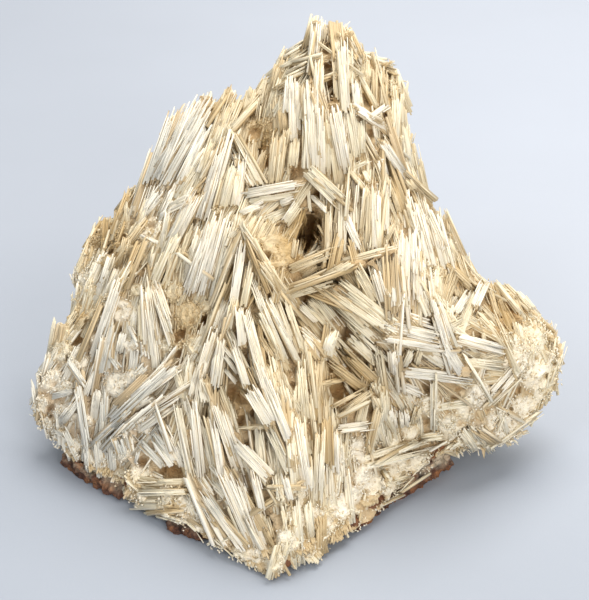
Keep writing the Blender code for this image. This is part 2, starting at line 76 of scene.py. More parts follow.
# Sheaves of the display side, each (foot across, foot down, tip across, tip down, width, stand): pixels,
# and how far the tip stands clear of the mass, in mm.
SHEAVES = {
    "left shoulder": {
        "white": [
            (149, 180, 174, 110, 10, 2.4), (160, 172, 190, 103, 9, 2.8), (156, 177, 202, 96, 11, 2.2),
            (166, 181, 211, 100, 10, 2.6), (181, 178, 208, 124, 9, 2.9),
            (206, 216, 229, 133, 11, 3.4), (259, 181, 234, 132, 6, 3.6), (251, 183, 231, 147, 6, 3.0),
            (197, 216, 221, 150, 8, 2.8), (238, 203, 243, 152, 7, 2.0), (254, 110, 256, 100, 5, 0.8),
        ],
        "cream": [
            (146, 192, 177, 114, 12, 0.4), (137, 203, 168, 124, 9, 0.0), (176, 197, 204, 150, 11, 1.4),
            (223, 206, 236, 162, 8, 2.0), (234, 205, 240, 172, 7, 1.8), (141, 217, 160, 190, 10, 0.6),
        ],
        "tan": [
            (198, 190, 216, 140, 11, 1.6), (210, 152, 231, 92, 13, 1.0), (222, 140, 240, 98, 10, 0.6),
            (216, 205, 229, 160, 4, 1.6), (229, 200, 236, 176, 5, 1.4), (243, 128, 238, 104, 8, 0.2),
            (250, 104, 249, 88, 3, 0.6),
        ],
    },
    "summit": {
        "white": [
            (313, 62, 316, 23, 8, 2.2), (318, 112, 321, 56, 8, 2.8), (314, 170, 310, 86, 14, 2.6),
            (322, 172, 321, 108, 6, 2.6), (293, 140, 292, 78, 8, 2.4), (286, 112, 289, 78, 6, 2.0),
            (299, 132, 297, 82, 4, 2.0), (346, 108, 342, 40, 9, 2.2), (356, 114, 354, 80, 7, 2.8),
            (345, 168, 334, 108, 12, 2.8), (360, 111, 401, 139, 6, 3.8), (373, 118, 389, 107, 4, 3.6),
            (384, 145, 404, 177, 8, 2.8),
        ],
        "cream": [
            (322, 40, 323, 20, 7, 1.4), (331, 42, 330, 23, 7, 1.2), (338, 50, 336, 30, 6, 1.0),
            (280, 66, 305, 53, 4, 1.4), (280, 60, 304, 46, 4, 1.4), (284, 54, 303, 41, 4, 1.2),
            (284, 73, 306, 61, 4, 1.4), (286, 78, 307, 68, 4, 1.2), (357, 156, 348, 104, 9, 2.6),
            (377, 106, 359, 73, 4, 2.4), (362, 152, 360, 118, 8, 1.8), (383, 104, 381, 66, 5, 1.2),
            (392, 92, 393, 72, 6, 1.0), (399, 92, 399, 74, 4, 0.8), (396, 134, 398, 98, 9, 1.2),
            (352, 82, 352, 46, 5, 1.2), (328, 170, 327, 112, 6, 2.4), (277, 70, 286, 50, 5, 0.6),
        ],
        "tan": [
            (271, 98, 283, 56, 9, 0.4), (266, 104, 276, 66, 8, 0.2), (270, 92, 288, 80, 4, 0.8),
            (374, 104, 374, 66, 6, 0.8), (386, 106, 386, 72, 4, 0.8), (404, 134, 404, 108, 7, 0.6),
            (390, 152, 388, 136, 8, 0.8), (400, 152, 400, 138, 8, 0.8), (365, 84, 364, 60, 12, 0.6),
            (358, 64, 352, 40, 6, 0.4), (275, 130, 273, 100, 9, 0.6), (284, 130, 282, 108, 7, 0.6),
            (305, 132, 303, 84, 4, 0.8), (262, 108, 268, 84, 5, 0.2),
        ],
    },
    "round the hole": {
        "white": [
            (247, 194, 302, 184, 9, 2.8), (240, 213, 263, 203, 6, 2.2), (280, 203, 293, 198, 5, 2.8),
            (285, 222, 299, 203, 10, 2.8), (311, 196, 326, 211, 4, 2.2), (300, 310, 243, 226, 6, 3.0),
            (345, 216, 360, 250, 7, 2.6), (293, 257, 296, 240, 5, 2.0),
        ],
        "cream": [
            (308, 170, 342, 203, 14, 2.8), (250, 201, 298, 193, 5, 2.4), (273, 182, 279, 132, 12, 1.8),
            (284, 150, 288, 128, 7, 1.4), (292, 166, 295, 138, 10, 1.6), (342, 250, 343, 192, 8, 2.2),
            (329, 250, 330, 206, 7, 1.8), (354, 248, 354, 206, 7, 1.8), (292, 268, 332, 251, 9, 2.2),
            (320, 268, 394, 248, 6, 3.0), (324, 278, 352, 262, 7, 2.0), (290, 296, 332, 284, 6, 1.8),
            (296, 312, 262, 262, 11, 2.6),
        ],
        "tan": [
            (246, 248, 262, 216, 16, 1.2), (258, 250, 274, 222, 12, 1.0), (259, 176, 265, 150, 4, 0.6),
            (288, 288, 320, 278, 7, 1.4), (303, 275, 318, 264, 10, 0.6), (336, 246, 337, 224, 4, 1.0),
            (300, 257, 304, 236, 5, -3.0), (307, 259, 313, 236, 5, -3.5), (302, 238, 306, 214, 5, -5.0),
            (312, 240, 317, 220, 4, -4.5),
        ],
    },
    "right ridge": {
        "white": [
            (377, 250, 377, 186, 8, 2.4), (386, 228, 386, 176, 9, 2.6), (387, 180, 381, 160, 10, 2.4),
            (408, 226, 406, 188, 8, 2.8), (417, 268, 412, 205, 8, 3.0), (421, 300, 417, 240, 7, 2.8),
            (406, 300, 405, 230, 8, 2.6), (398, 306, 398, 236, 7, 2.4), (413, 300, 412, 230, 6, 2.4),
            (443, 246, 442, 222, 4, 2.8), (426, 308, 422, 252, 6, 2.6),
        ],
        "cream": [
            (432, 262, 414, 196, 9, 2.0), (442, 262, 424, 200, 9, 1.6), (450, 268, 436, 214, 8, 1.2),
            (381, 248, 380, 222, 5, 2.0), (412, 180, 402, 158, 6, 1.2), (356, 250, 352, 222, 5, 2.0),
            (369, 180, 364, 170, 5, 1.8), (352, 168, 368, 160, 4, 1.6), (434, 312, 431, 276, 6, 1.8),
        ],
        "tan": [
            (368, 250, 371, 190, 6, 1.4), (362, 230, 369, 182, 5, 1.0), (384, 246, 396, 222, 5, 1.2),
            (399, 212, 392, 190, 5, 1.2), (414, 190, 406, 180, 8, 1.0), (456, 262, 446, 232, 7, 0.6),
            (466, 276, 458, 252, 7, 0.4), (424, 206, 420, 188, 6, 0.6), (449, 268, 473, 291, 7, 1.2),
            (445, 302, 456, 272, 12, 0.6),
        ],
    },
    "valley": {
        "white": [
            (386, 303, 376, 270, 8, 2.6), (396, 300, 395, 246, 6, 2.4), (317, 320, 300, 304, 8, 2.4),
            (333, 357, 303, 331, 8, 2.4), (297, 352, 286, 322, 8, 2.0), (388, 311, 436, 327, 9, 2.4),
            (386, 326, 440, 338, 10, 2.6), (390, 340, 441, 348, 7, 2.2), (455, 369, 435, 299, 12, 3.2),
            (462, 372, 446, 346, 10, 2.6), (396, 374, 394, 352, 8, 2.0), (400, 385, 422, 395, 7, 3.0),
            (405, 373, 470, 380, 10, 2.8), (392, 429, 392, 410, 4, 2.4), (397, 429, 395, 412, 4, 2.4),
            (402, 428, 401, 413, 4, 2.4), (408, 427, 407, 413, 4, 2.2), (341, 430, 372, 426, 8, 2.4),
            (327, 351, 333, 335, 8, 2.6), (324, 361, 300, 331, 12, 2.4), (335, 472, 334, 430, 7, 2.0),
        ],
        "cream": [
            (382, 324, 330, 288, 10, 2.2), (388, 319, 342, 282, 9, 2.2), (376, 340, 334, 304, 8, 1.8),
            (375, 300, 356, 266, 8, 1.8), (328, 356, 335, 330, 10, 2.0), (376, 362, 350, 338, 9, 2.0),
            (385, 420, 385, 392, 8, 2.4), (345, 413, 372, 394, 8, 2.2), (333, 406, 365, 389, 4, 1.6),
            (323, 384, 346, 379, 4, 2.0), (324, 400, 323, 385, 3, 1.8), (370, 457, 425, 441, 7, 2.2),
            (369, 466, 424, 452, 6, 2.0), (434, 430, 434, 376, 7, 2.4), (426, 355, 443, 366, 3, 2.0),
            (429, 351, 442, 357, 3, 2.0), (405, 366, 412, 352, 6, 1.4), (365, 388, 330, 362, 8, 1.6),
            (318, 455, 312, 362, 9, 2.2), (420, 440, 442, 436, 8, 1.6), (440, 408, 468, 404, 7, 1.4),
        ],
        "tan": [
            (368, 296, 350, 276, 7, 1.6), (366, 342, 348, 322, 7, 1.2), (378, 383, 343, 350, 9, 1.8),
            (428, 324, 441, 342, 7, 1.0), (413, 424, 418, 408, 8, 0.8), (328, 446, 326, 402, 8, 1.4),
            (347, 466, 344, 436, 7, 0.8), (416, 366, 420, 352, 6, 0.8),
        ],
    },
    "right lobe": {
        "white": [
            (460, 338, 507, 351, 9, 2.4), (474, 304, 484, 281, 9, 2.6), (493, 392, 520, 362, 4, 2.4),
            (503, 389, 525, 364, 4, 2.4), (498, 283, 525, 317, 4, 2.2), (456, 312, 469, 292, 7, 2.0),
            (476, 388, 484, 362, 9, 1.8),
        ],
        "cream": [
            (462, 330, 478, 288, 9, 2.0), (505, 283, 531, 308, 6, 1.6), (517, 294, 533, 309, 7, 1.2),
            (512, 344, 481, 310, 16, 2.0), (492, 452, 472, 426, 8, 1.6), (476, 450, 462, 430, 8, 1.2),
            (508, 436, 498, 400, 7, 1.4), (470, 362, 506, 366, 9, 1.2), (524, 350, 518, 322, 8, 1.0),
            (546, 350, 534, 318, 8, 1.0), (532, 398, 546, 360, 7, 1.0),
        ],
        "tan": [
            (498, 316, 489, 284, 5, 1.2), (510, 330, 493, 283, 5, 0.8), (466, 352, 480, 356, 6, 1.0),
            (520, 334, 500, 300, 8, 0.2), (486, 372, 506, 374, 7, 0.6),
        ],
    },
    "buttress top": {
        "white": [
            (192, 292, 216, 214, 12, 2.6), (203, 294, 225, 214, 10, 2.6), (233, 302, 243, 240, 7, 2.4),
            (172, 240, 197, 192, 14, 2.0), (154, 280, 172, 333, 6, 2.8), (264, 312, 252, 278, 7, 2.2),
            (186, 290, 206, 236, 8, 2.2),
        ],
        "cream": [
            (212, 302, 232, 220, 8, 2.4), (221, 294, 238, 216, 6, 2.2), (242, 305, 251, 262, 7, 1.8),
            (152, 284, 172, 238, 9, 1.6), (150, 330, 150, 284, 10, 2.0), (110, 302, 131, 264, 4, 1.4),
            (104, 302, 118, 268, 8, 0.8), (121, 266, 127, 240, 9, 1.0), (166, 252, 184, 214, 7, 1.8),
            (160, 272, 178, 236, 7, 1.6), (130, 236, 136, 222, 6, 0.8),
        ],
        "tan": [
            (163, 290, 180, 246, 6, 1.4), (176, 270, 192, 226, 5, 1.2), (104, 250, 106, 218, 8, 0.2),
            (117, 234, 119, 208, 7, 0.2), (126, 225, 125, 204, 6, 0.2), (172, 304, 178, 282, 8, 0.8),
            (226, 300, 236, 262, 4, 1.4), (237, 296, 240, 278, 4, 1.0),
        ],
    },
    "left flank": {
        "white": [
            (92, 362, 119, 281, 10, 2.4), (100, 372, 113, 316, 6, 2.2), (70, 362, 86, 386, 5, 2.6),
            (78, 388, 87, 448, 8, 2.2), (110, 358, 118, 368, 3, 2.2), (127, 325, 137, 345, 3, 2.2),
            (115, 434, 176, 396, 12, 2.8), (115, 418, 168, 369, 9, 2.2), (143, 392, 178, 366, 8, 2.2),
            (172, 340, 155, 289, 8, 2.8), (172, 463, 152, 434, 11, 2.2), (182, 465, 162, 426, 9, 2.6),
            (92, 446, 128, 412, 7, 2.0), (102, 450, 104, 392, 8, 1.8),
        ],
        "cream": [
            (157, 366, 148, 292, 10, 2.2), (131, 398, 150, 382, 6, 2.0), (188, 470, 176, 406, 9, 2.0),
            (147, 350, 144, 286, 6, 1.8), (52, 396, 72, 391, 6, 1.4), (60, 424, 78, 400, 9, 1.2),
            (78, 460, 63, 430, 6, 1.6), (88, 472, 84, 446, 6, 1.4), (100, 476, 97, 440, 8, 1.6),
            (112, 470, 110, 440, 8, 1.2), (84, 395, 96, 364, 6, 1.2), (106, 346, 111, 322, 6, 1.4),
            (61, 386, 80, 352, 7, 1.0), (118, 352, 122, 334, 7, 1.2), (92, 420, 96, 390, 8, 1.4),
            (62, 334, 76, 312, 6, 0.6), (46, 372, 58, 348, 6, 0.6), (128, 412, 150, 398, 6, 1.8),
        ],
        "tan": [
            (84, 302, 90, 276, 7, 0.3), (140, 340, 140, 300, 5, 0.8), (74, 330, 84, 316, 8, 0.4),
            (118, 428, 130, 414, 5, 0.6),
        ],
    },
    "front column": {
        "white": [
            (196, 396, 215, 330, 11, 3.0), (215, 386, 222, 340, 9, 2.6), (247, 386, 233, 342, 7, 2.8),
            (262, 376, 245, 309, 10, 3.0), (276, 420, 257, 360, 9, 2.8), (284, 358, 262, 308, 8, 2.8),
            (300, 362, 269, 301, 8, 2.6), (270, 422, 250, 388, 14, 3.2), (287, 436, 262, 372, 9, 2.8),
            (190, 394, 197, 366, 3, 2.4), (195, 394, 202, 364, 3, 2.4), (201, 388, 206, 362, 3, 2.4),
            (211, 378, 214, 358, 3, 2.2), (240, 368, 223, 346, 3, 2.6), (238, 374, 224, 356, 3, 2.4),
            (236, 382, 224, 368, 3, 2.2), (216, 330, 226, 300, 9, 2.4), (243, 345, 240, 306, 8, 2.6),
        ],
        "cream": [
            (303, 352, 286, 302, 6, 2.2), (306, 418, 301, 362, 8, 2.4), (316, 420, 311, 352, 8, 2.2),
            (318, 400, 321, 360, 6, 1.6), (228, 330, 234, 300, 8, 2.2), (206, 404, 204, 380, 7, 1.6),
            (184, 402, 174, 369, 6, 2.0), (274, 396, 268, 366, 6, 1.6), (290, 416, 282, 378, 8, 1.8),
        ],
        "tan": [
            (285, 370, 264, 336, 13, 1.2), (268, 335, 254, 313, 8, 0.4), (283, 392, 278, 370, 8, 0.8),
        ],
    },
    "foot": {
        "white": [
            (268, 476, 235, 441, 12, 2.8), (254, 544, 222, 470, 13, 2.8), (262, 546, 238, 480, 8, 2.4),
            (240, 548, 200, 490, 9, 2.4), (228, 545, 205, 505, 8, 2.0), (289, 500, 283, 475, 6, 2.2),
            (308, 492, 297, 421, 11, 2.6), (262, 510, 252, 470, 4, 2.8), (266, 510, 258, 478, 3, 2.4),
            (238, 470, 216, 404, 12, 3.2), (200, 478, 192, 402, 8, 2.6), (223, 482, 213, 420, 7, 2.6),
        ],
        "cream": [
            (262, 470, 258, 428, 9, 1.8), (288, 470, 268, 426, 9, 2.2), (319, 500, 322, 430, 11, 2.2),
            (343, 480, 340, 432, 7, 1.8), (353, 520, 347, 470, 7, 1.4), (240, 534, 221, 541, 3, 2.2),
            (238, 545, 228, 533, 3, 2.0), (300, 545, 296, 500, 9, 1.4), (280, 500, 276, 470, 8, 1.6),
            (312, 540, 308, 505, 8, 1.2), (190, 482, 140, 484, 6, 1.4), (186, 492, 136, 493, 6, 1.2),
            (217, 482, 205, 424, 8, 2.4), (230, 500, 212, 480, 7, 1.8), (196, 520, 186, 496, 7, 1.4),
        ],
        "tan": [
            (262, 530, 245, 490, 5, 1.4), (270, 540, 262, 514, 8, 0.6), (310, 500, 302, 430, 5, 0.8),
            (332, 470, 331, 428, 4, 0.6), (267, 427, 238, 428, 4, 1.8), (252, 402, 238, 388, 4, 0.8),
        ],
    },
}
TONES = {"white": 1.0, "cream": 0.66, "tan": 0.30}

# Patches of druse, where small grains stand instead of sheaves: across, down, radius in pixels, and tone.
DRUSE = [
    (260, 132, 14, 0.25), (279, 252, 18, 0.35), (268, 236, 12, 0.35), (322, 296, 8, 0.94),
    (174, 292, 9, 0.45), (188, 315, 14, 0.45), (176, 340, 8, 0.25), (195, 345, 10, 0.62),
    (435, 272, 11, 0.62), (446, 290, 8, 0.35), (550, 332, 10, 0.85), (558, 350, 10, 0.85),
    (558, 368, 9, 0.8), (553, 384, 9, 0.75), (522, 432, 14, 0.85), (505, 444, 10, 0.85),
    (488, 450, 9, 0.85), (540, 322, 8, 0.85), (530, 342, 22, 0.85), (537, 370, 22, 0.85),
    (545, 395, 14, 0.8), (515, 368, 16, 0.88), (525, 412, 18, 0.8), (500, 424, 16, 0.78),
    (480, 395, 14, 0.9), (460, 400, 12, 0.4), (478, 438, 16, 0.82), (450, 428, 14, 0.75),
    (430, 405, 12, 0.69), (362, 450, 14, 0.94), (366, 478, 14, 1), (340, 505, 14, 1), (352, 495, 10, 1),
    (400, 470, 12, 0.81), (320, 520, 14, 0.88), (300, 515, 14, 0.88), (290, 540, 14, 0.75),
    (275, 560, 12, 0.75), (255, 555, 10, 0.88), (240, 555, 10, 0.75), (240, 465, 10, 0.45),
    (222, 500, 8, 0.4), (70, 310, 12, 0.25), (85, 290, 10, 0.3), (60, 350, 12, 0.45), (50, 380, 12, 0.45),
    (40, 405, 10, 0.45), (45, 425, 9, 0.4), (70, 412, 10, 0.62), (55, 440, 8, 0.62), (120, 310, 12, 0.94),
    (136, 290, 7, 0.35), (130, 345, 8, 0.45), (118, 385, 14, 1), (135, 378, 10, 0.4), (122, 452, 9, 0.35),
    (140, 475, 12, 0.62), (120, 478, 8, 0.35), (160, 495, 14, 0.81), (185, 505, 12, 0.75),
    (200, 520, 12, 0.88), (140, 500, 10, 0.88), (145, 425, 10, 0.75), (112, 236, 14, 0.3),
    (104, 255, 10, 0.3), (140, 255, 9, 0.45), (123, 228, 8, 0.3), (215, 210, 6, 0.3), (206, 214, 7, 0.25),
    (366, 76, 10, 0.35), (330, 72, 7, 0.25), (395, 85, 6, 0.4), (404, 184, 5, 0.3), (250, 500, 5, 0.2),
    (330, 512, 7, 0.4), (152, 226, 8, 0.25), (84, 262, 8, 0.35), (390, 440, 10, 0.75),
    (420, 461, 12, 0.8), (385, 485, 12, 0.8), (375, 500, 10, 0.8), (350, 518, 12, 0.8),
    (330, 532, 11, 0.75), (312, 548, 11, 0.78), (395, 456, 12, 0.85), (250, 565, 9, 0.75),
    (215, 548, 9, 0.8), (180, 525, 9, 0.8), (345, 455, 9, 0.8), (300, 495, 8, 0.75), (280, 500, 7, 0.6),
    (410, 432, 9, 0.72), (466, 412, 9, 0.7), (80, 362, 9, 0.55), (66, 388, 9, 0.55), (96, 340, 7, 0.6),
    (60, 412, 9, 0.55), (85, 422, 8, 0.6), (75, 446, 8, 0.6), (128, 440, 8, 0.6), (150, 402, 7, 0.7),
    (105, 300, 8, 0.6), (95, 316, 8, 0.5), (62, 332, 9, 0.5), (100, 464, 8, 0.6), (95, 235, 9, 0.4),
    (88, 252, 8, 0.45), (82, 276, 8, 0.45), (130, 250, 7, 0.5), (145, 236, 7, 0.5), (120, 276, 7, 0.6),
    (165, 345, 7, 0.5), (205, 306, 7, 0.5), (388, 503, 6, 0.7), (402, 492, 6, 0.7),
]

# Where rusty rock shows through the lower rim of the crystals: across, down and radius, in pixels.
RUST = [
    (442, 452, 9), (450, 459, 8), (434, 461, 6), (409, 482, 6), (416, 479, 4), (372, 503, 6),
    (380, 499, 4), (354, 521, 6), (347, 526, 4), (338, 533, 4), (179, 529, 6), (190, 531, 5),
    (168, 526, 4), (107, 482, 6), (99, 476, 4), (123, 482, 4), (79, 468, 6), (72, 463, 4), (288, 564, 4),
]

# Where laths and core are cleaner (more tone) or more stained (less) than their sheaves say, and where
# tone paints light and shade: lighter where light falls, darker in the valley, the hole and other
# hollows, and greyer and darker on the shaded left flank. Across, down and radius in pixels, and the tone
# that is added in the middle and fades to the rim.
STAIN_AND_PAINTED_LIGHT = [
    (342, 382, 38, -0.8), (303, 236, 34, -0.65), (330, 72, 26, -0.35), (262, 142, 36, -0.5),
    (188, 318, 32, -0.55), (240, 402, 22, -0.4), (174, 470, 20, -0.35), (504, 312, 26, -0.65),
    (278, 262, 36, -0.45), (455, 285, 22, -0.35), (268, 345, 22, -0.2), (108, 238, 38, -0.7),
    (75, 318, 26, -0.35), (338, 276, 44, -0.3), (265, 530, 26, 0.2), (320, 440, 24, -0.25),
    (386, 90, 24, -0.3), (276, 75, 20, -0.25), (392, 190, 26, -0.25), (78, 342, 14, -0.4),
    (100, 400, 80, 0.6), (130, 345, 50, 0.3), (90, 450, 50, 0.4), (140, 440, 50, 0.3),
    (205, 262, 46, 0.1), (430, 380, 50, 0.15), (182, 142, 54, 0.25), (150, 212, 36, 0.35),
    (350, 480, 40, 0.15), (230, 470, 40, 0.15), (500, 420, 44, 0.15), (436, 232, 34, 0.3),
    (400, 158, 32, 0.2), (318, 45, 30, 0.15), (40, 385, 36, 0.35), (62, 330, 26, 0.1), (45, 430, 26, 0.3),
    (150, 450, 30, 0.1), (205, 505, 34, 0.3), (560, 385, 22, -0.4), (535, 330, 30, -0.2),
    (150, 160, 36, 0.4), (140, 215, 30, 0.3), (85, 270, 36, 0.5), (305, 232, 26, -0.4),
    (268, 330, 90, -0.16), (300, 150, 50, -0.16),
]

# Openings between the sheaves, which grown laths stay out of: across, down, radius in pixels, depth in mm.
OPENINGS = [
    (77, 341, 5, 3), (50, 408, 4, 3), (110, 251, 5, 4), (182, 334, 6, 4), (178, 354, 5, 4),
    (252, 353, 3, 3), (122, 350, 4, 3), (164, 471, 5, 4), (457, 389, 4, 3), (458, 396, 4, 3),
    (430, 391, 4, 3), (515, 391, 4, 2), (478, 423, 3, 2), (471, 408, 3, 2), (309, 225, 10, 7),
    (306, 240, 10, 9), (310, 252, 8, 7), (317, 196, 6, 5), (326, 52, 5, 3), (327, 68, 6, 4),
    (328, 86, 6, 4), (330, 100, 5, 3), (366, 100, 6, 3), (370, 133, 4, 3), (385, 114, 4, 2.5),
    (329, 158, 3, 3), (402, 184, 3, 3), (395, 205, 3, 2.5), (387, 236, 4, 3), (358, 215, 2, 2),
    (296, 173, 7, 3), (265, 165, 4, 2), (256, 134, 8, 3), (208, 214, 5, 4), (152, 226, 5, 2.5),
    (163, 282, 3, 2), (267, 256, 5, 3), (306, 268, 9, 2.5), (304, 299, 6, 4), (338, 282, 4, 2),
    (368, 274, 4, 2.5), (379, 296, 3, 3), (340, 312, 4, 3), (375, 332, 7, 3.5), (386, 350, 3, 3),
    (348, 338, 8, 4), (291, 315, 4, 3), (270, 296, 3, 2), (350, 384, 9, 6), (340, 392, 8, 5),
    (356, 396, 6, 5), (332, 366, 5, 4), (330, 392, 5, 4), (365, 366, 3, 4), (372, 410, 4, 2),
    (425, 388, 4, 2.5), (426, 421, 4, 2), (414, 414, 2, 2), (453, 397, 4, 4), (462, 390, 6, 2),
    (436, 333, 4, 2.5), (468, 288, 4, 2), (491, 309, 4, 3), (508, 312, 7, 3.5), (514, 326, 7, 3.5),
    (478, 338, 5, 2.5), (494, 345, 5, 3), (472, 360, 3, 2), (518, 390, 5, 2.5), (546, 376, 3, 2),
    (554, 364, 3, 2), (459, 423, 4, 2), (478, 424, 4, 2), (496, 412, 3, 2.5), (418, 448, 4, 2),
    (176, 338, 6, 4), (205, 320, 5, 4), (192, 322, 3, 2), (183, 362, 3, 2), (232, 392, 7, 4),
    (243, 396, 7, 4.5), (254, 414, 4, 4), (242, 422, 5, 3.5), (248, 446, 5, 4), (255, 455, 3, 3),
    (247, 354, 4, 2.5), (260, 322, 4, 2.5), (282, 314, 3, 3), (295, 356, 3, 2.5), (329, 362, 4, 3),
    (293, 386, 4, 3), (272, 372, 2, 2), (186, 440, 3, 3), (190, 455, 3, 3), (206, 412, 4, 2),
    (216, 497, 4, 2.5), (222, 504, 4, 2.5), (251, 494, 4, 2.5), (262, 482, 2, 3), (268, 522, 6, 2.5),
    (273, 534, 5, 2), (285, 447, 3, 3), (172, 471, 9, 4.5), (180, 474, 6, 4), (476, 279, 6, 3),
    (510, 286, 5, 2), (522, 292, 4, 2), (303, 250, 7, 7), (314, 214, 5, 6), (348, 330, 4, 4),
    (341, 352, 5, 5), (372, 340, 4, 4), (369, 366, 4, 4), (346, 376, 6, 6), (143, 463, 6, 4),
    (120, 422, 4, 2), (98, 408, 3, 2.5), (79, 341, 6, 4), (52, 408, 4, 4), (51, 416, 3, 4),
    (68, 308, 8, 2), (55, 384, 4, 2), (127, 361, 4, 3), (80, 433, 3, 2), (120, 330, 3, 2.5),
]

# The layers of grown sheaves: how far apart they start, whether they keep clear of the placed ones, how
# far they stray from the grain in radians, the share of twins, and in mm their half length, how far their
# tips stand out and their width. Then come the share of the grain's tone that they take, and their rows of
# laths.
LAYERS = {
    "deep": dict(
        seed=21, spacing=4.4 * MM, over=False, stray=0.16, twins=0.08, half=(6, 12), stand=(-1.8, -0.4),
        width=(3.0, 5.6), tone=(0.75, 1.05), rows=1,
    ),
    "high": dict(
        seed=22, spacing=4.3 * MM, over=True, stray=0.14, twins=0.10, half=(5, 14), stand=(0.0, 1.8),
        width=(1.6, 4.2), tone=(0.85, 1.35), rows=2,
    ),
    "needles": dict(
        seed=23, spacing=5.6 * MM, over=True, stray=0.35, twins=0.15, half=(2, 6), stand=(0.4, 2.0),
        width=(0.5, 1.3), tone=(0.9, 1.5), rows=1,
    ),
}

# The lamps: where each stands and how wide it is, its colour, and the setting that holds its power. Then
# the colour of the sky, half the width of the floor, and the width of the camera's sensor in mm.
LAMPS = {
    "overhead": ((0.20, 0.34, 1.05), 1.0, (1.0, 0.965, 0.90), "key"),
    "front": ((0.34, -0.98, 0.50), 0.6, (1.0, 0.96, 0.90), "fill"),
    "left": ((-0.55, -0.75, 0.85), 0.5, (0.88, 0.95, 1.0), "cool"),
}
SKY_COLOUR = (1.0, 0.965, 0.90)
FLOOR_REACH = 6.0
SENSOR_WIDTH = 36

# Seeds of the random draws and of the noise. LAYER_SPREAD_SEED is added to a layer's own.
SEED = 7
GRAIN_SEED = SEED + 5
GRAIN_SPREAD_SEED = SEED + 6
LAYER_SPREAD_SEED = 100
CORE_SEED = 3
ROCK_SEED = 9

# What counts as seen by the photograph's camera: how far under the skin, and how far a face may turn away.
SEEN_REACH = 6 * MM
SEEN_FACING = -0.3

# How far a spot of a table reaches, as a share of its radius, for each use of it.
OPENING_CLEARED = 0.85
OPENING_PUSHED = 1.25
RUST_CLEARED = 0.75
RUST_STAINED = 1.3
DRUSE_GROWN = 1.15
DRUSE_KEPT_BARE = 1.2

# Tones run from TONE_SPAN's first, the most stained, over the TONES to its last, the frostiest, whose
# greyer, darker colour also paints cool shade.
TONE_SPAN = (-0.5, 1.5)

Sheaf = namedtuple("Sheaf", "foot tip outward width tone rows")


# What a user may change

def length_setting(name, description, default, least=0.0):
    """A length in metres that a user may change."""
    return FloatProperty(name=name, description=description, default=default, min=least, unit="LENGTH")


def share_setting(name, description, default, most=1.0):
    """A share that a user may change."""
    return FloatProperty(
        name=name, description=description, default=default, min=0.0, max=most, subtype="FACTOR",
    )


def colour_setting(name, description, default):
    """A colour that a user may change."""
    return FloatVectorProperty(
        name=name, description=description, default=default, min=0.0, max=1.0, subtype="COLOR",
    )


def power_setting(name, description, default):
    """The power of a lamp in watts, which a user may change."""
    return FloatProperty(name=name, description=description, default=default, min=0.0, unit="POWER")


class LathSizes(PropertyGroup):
    """Sizes of single laths, and of the way a sheaf is made of them."""

    placed_least: length_setting(
        "Least Width", "Width of the finest lath of a placed sheaf", 0.25 * MM, least=0.1 * MM,
    )
    placed_most: length_setting(
        "Most Width", "Width of the broadest lath of a placed sheaf", 0.60 * MM, least=0.1 * MM,
    )
    grown_least: length_setting(
        "Least Grown Width", "Width of the finest lath of a grown sheaf", 0.38 * MM, least=0.1 * MM,
    )
    grown_most: length_setting(
        "Most Grown Width", "Width of the broadest lath of a grown sheaf", 0.85 * MM, least=0.1 * MM,
    )
    depth_least: length_setting("Least Depth", "Thickness of the thinnest lath", 0.5 * MM, least=0.1 * MM)
    depth_most: length_setting("Most Depth", "Thickness of the thickest lath", 1.1 * MM, least=0.1 * MM)
    step: length_setting("Step", "How much higher or lower a lath lies than the one beside it", 0.09 * MM)
    groove_share: share_setting(
        "Groove Share", "Share of the laths that lie deep between their neighbours", 0.16,
    )
    groove_depth: length_setting("Groove Depth", "How deep such a lath lies", 0.45 * MM)
    break_spread: share_setting(
        "Break Spread", "How unevenly a sheaf ends, as a share of its length", 0.10, most=0.5,
    )
    sliver_spacing: length_setting(
        "Sliver Spacing", "How far apart the splinters on a sheaf lie", 2.5 * MM, least=0.5 * MM,
    )
    foot_sink: length_setting("Foot Sink", "How deep the foot of a sheaf is rooted in the mass", 1.6 * MM)


class CrystalColours(PropertyGroup):
    """Colours of the crystals, from the purest to the most stained."""

    white: colour_setting("White", "Clean crystal", (0.93, 0.88, 0.77))
    # Greyer and darker than white: it also paints cool shade, as on the left flank.
    frost_and_shade: colour_setting("Frost", "Clean crystal in its coolest places", (0.67, 0.662, 0.605))
    cream: colour_setting("Cream", "Crystal with a little stain", (0.85, 0.775, 0.59))
    tan: colour_setting("Tan", "Stained crystal", (0.70, 0.585, 0.39))
    # Iron stain, and the painted shade of the hollows.
    hollow: colour_setting("Hollow", "What the stain makes of crystal in the hollows", (0.53, 0.375, 0.175))
    # Iron stain and painted shade at the bottom of an opening, darker the deeper it is.
    deep: colour_setting("Deep", "The bottom of an opening", (0.44, 0.27, 0.115))
    roughness: share_setting("Roughness", "Roughness of a lath's faces", 0.5)


class CoreSizes(PropertyGroup):
    """The drusy core under the laths."""

    voxel: length_setting("Voxel", "Grain of the core's mesh", 1.05 * MM, least=0.5 * MM)
    inset: length_setting("Inset", "How far the core lies under the skin of the mass", 1.9 * MM)
    height: length_setting("Height", "Height of its lumps", 1.0 * MM)
    span: length_setting("Span", "Width of its lumps", 2.0 * MM, least=0.1 * MM)


class RockLooks(PropertyGroup):
    """The stained rock that the crystals grew on."""

    rust: colour_setting("Rust", "Its main colour", (0.115, 0.047, 0.028))
    ochre: colour_setting("Ochre", "Its brighter stains", (0.33, 0.145, 0.058))
    dark: colour_setting("Dark", "Its dark specks and pits", (0.045, 0.022, 0.016))
    crust: colour_setting("Crust", "The pale crystal crust on parts of it", (0.78, 0.68, 0.50))
    voxel: length_setting("Voxel", "Grain of the rock's mesh", 1.1 * MM, least=0.5 * MM)
    inset: length_setting("Inset", "How far its hollows lie under the skin of the rock", 0.2 * MM)
    height: length_setting("Height", "Height of its lumps", 1.8 * MM)
    span: length_setting("Span", "Width of its lumps", 2.4 * MM, least=0.1 * MM)


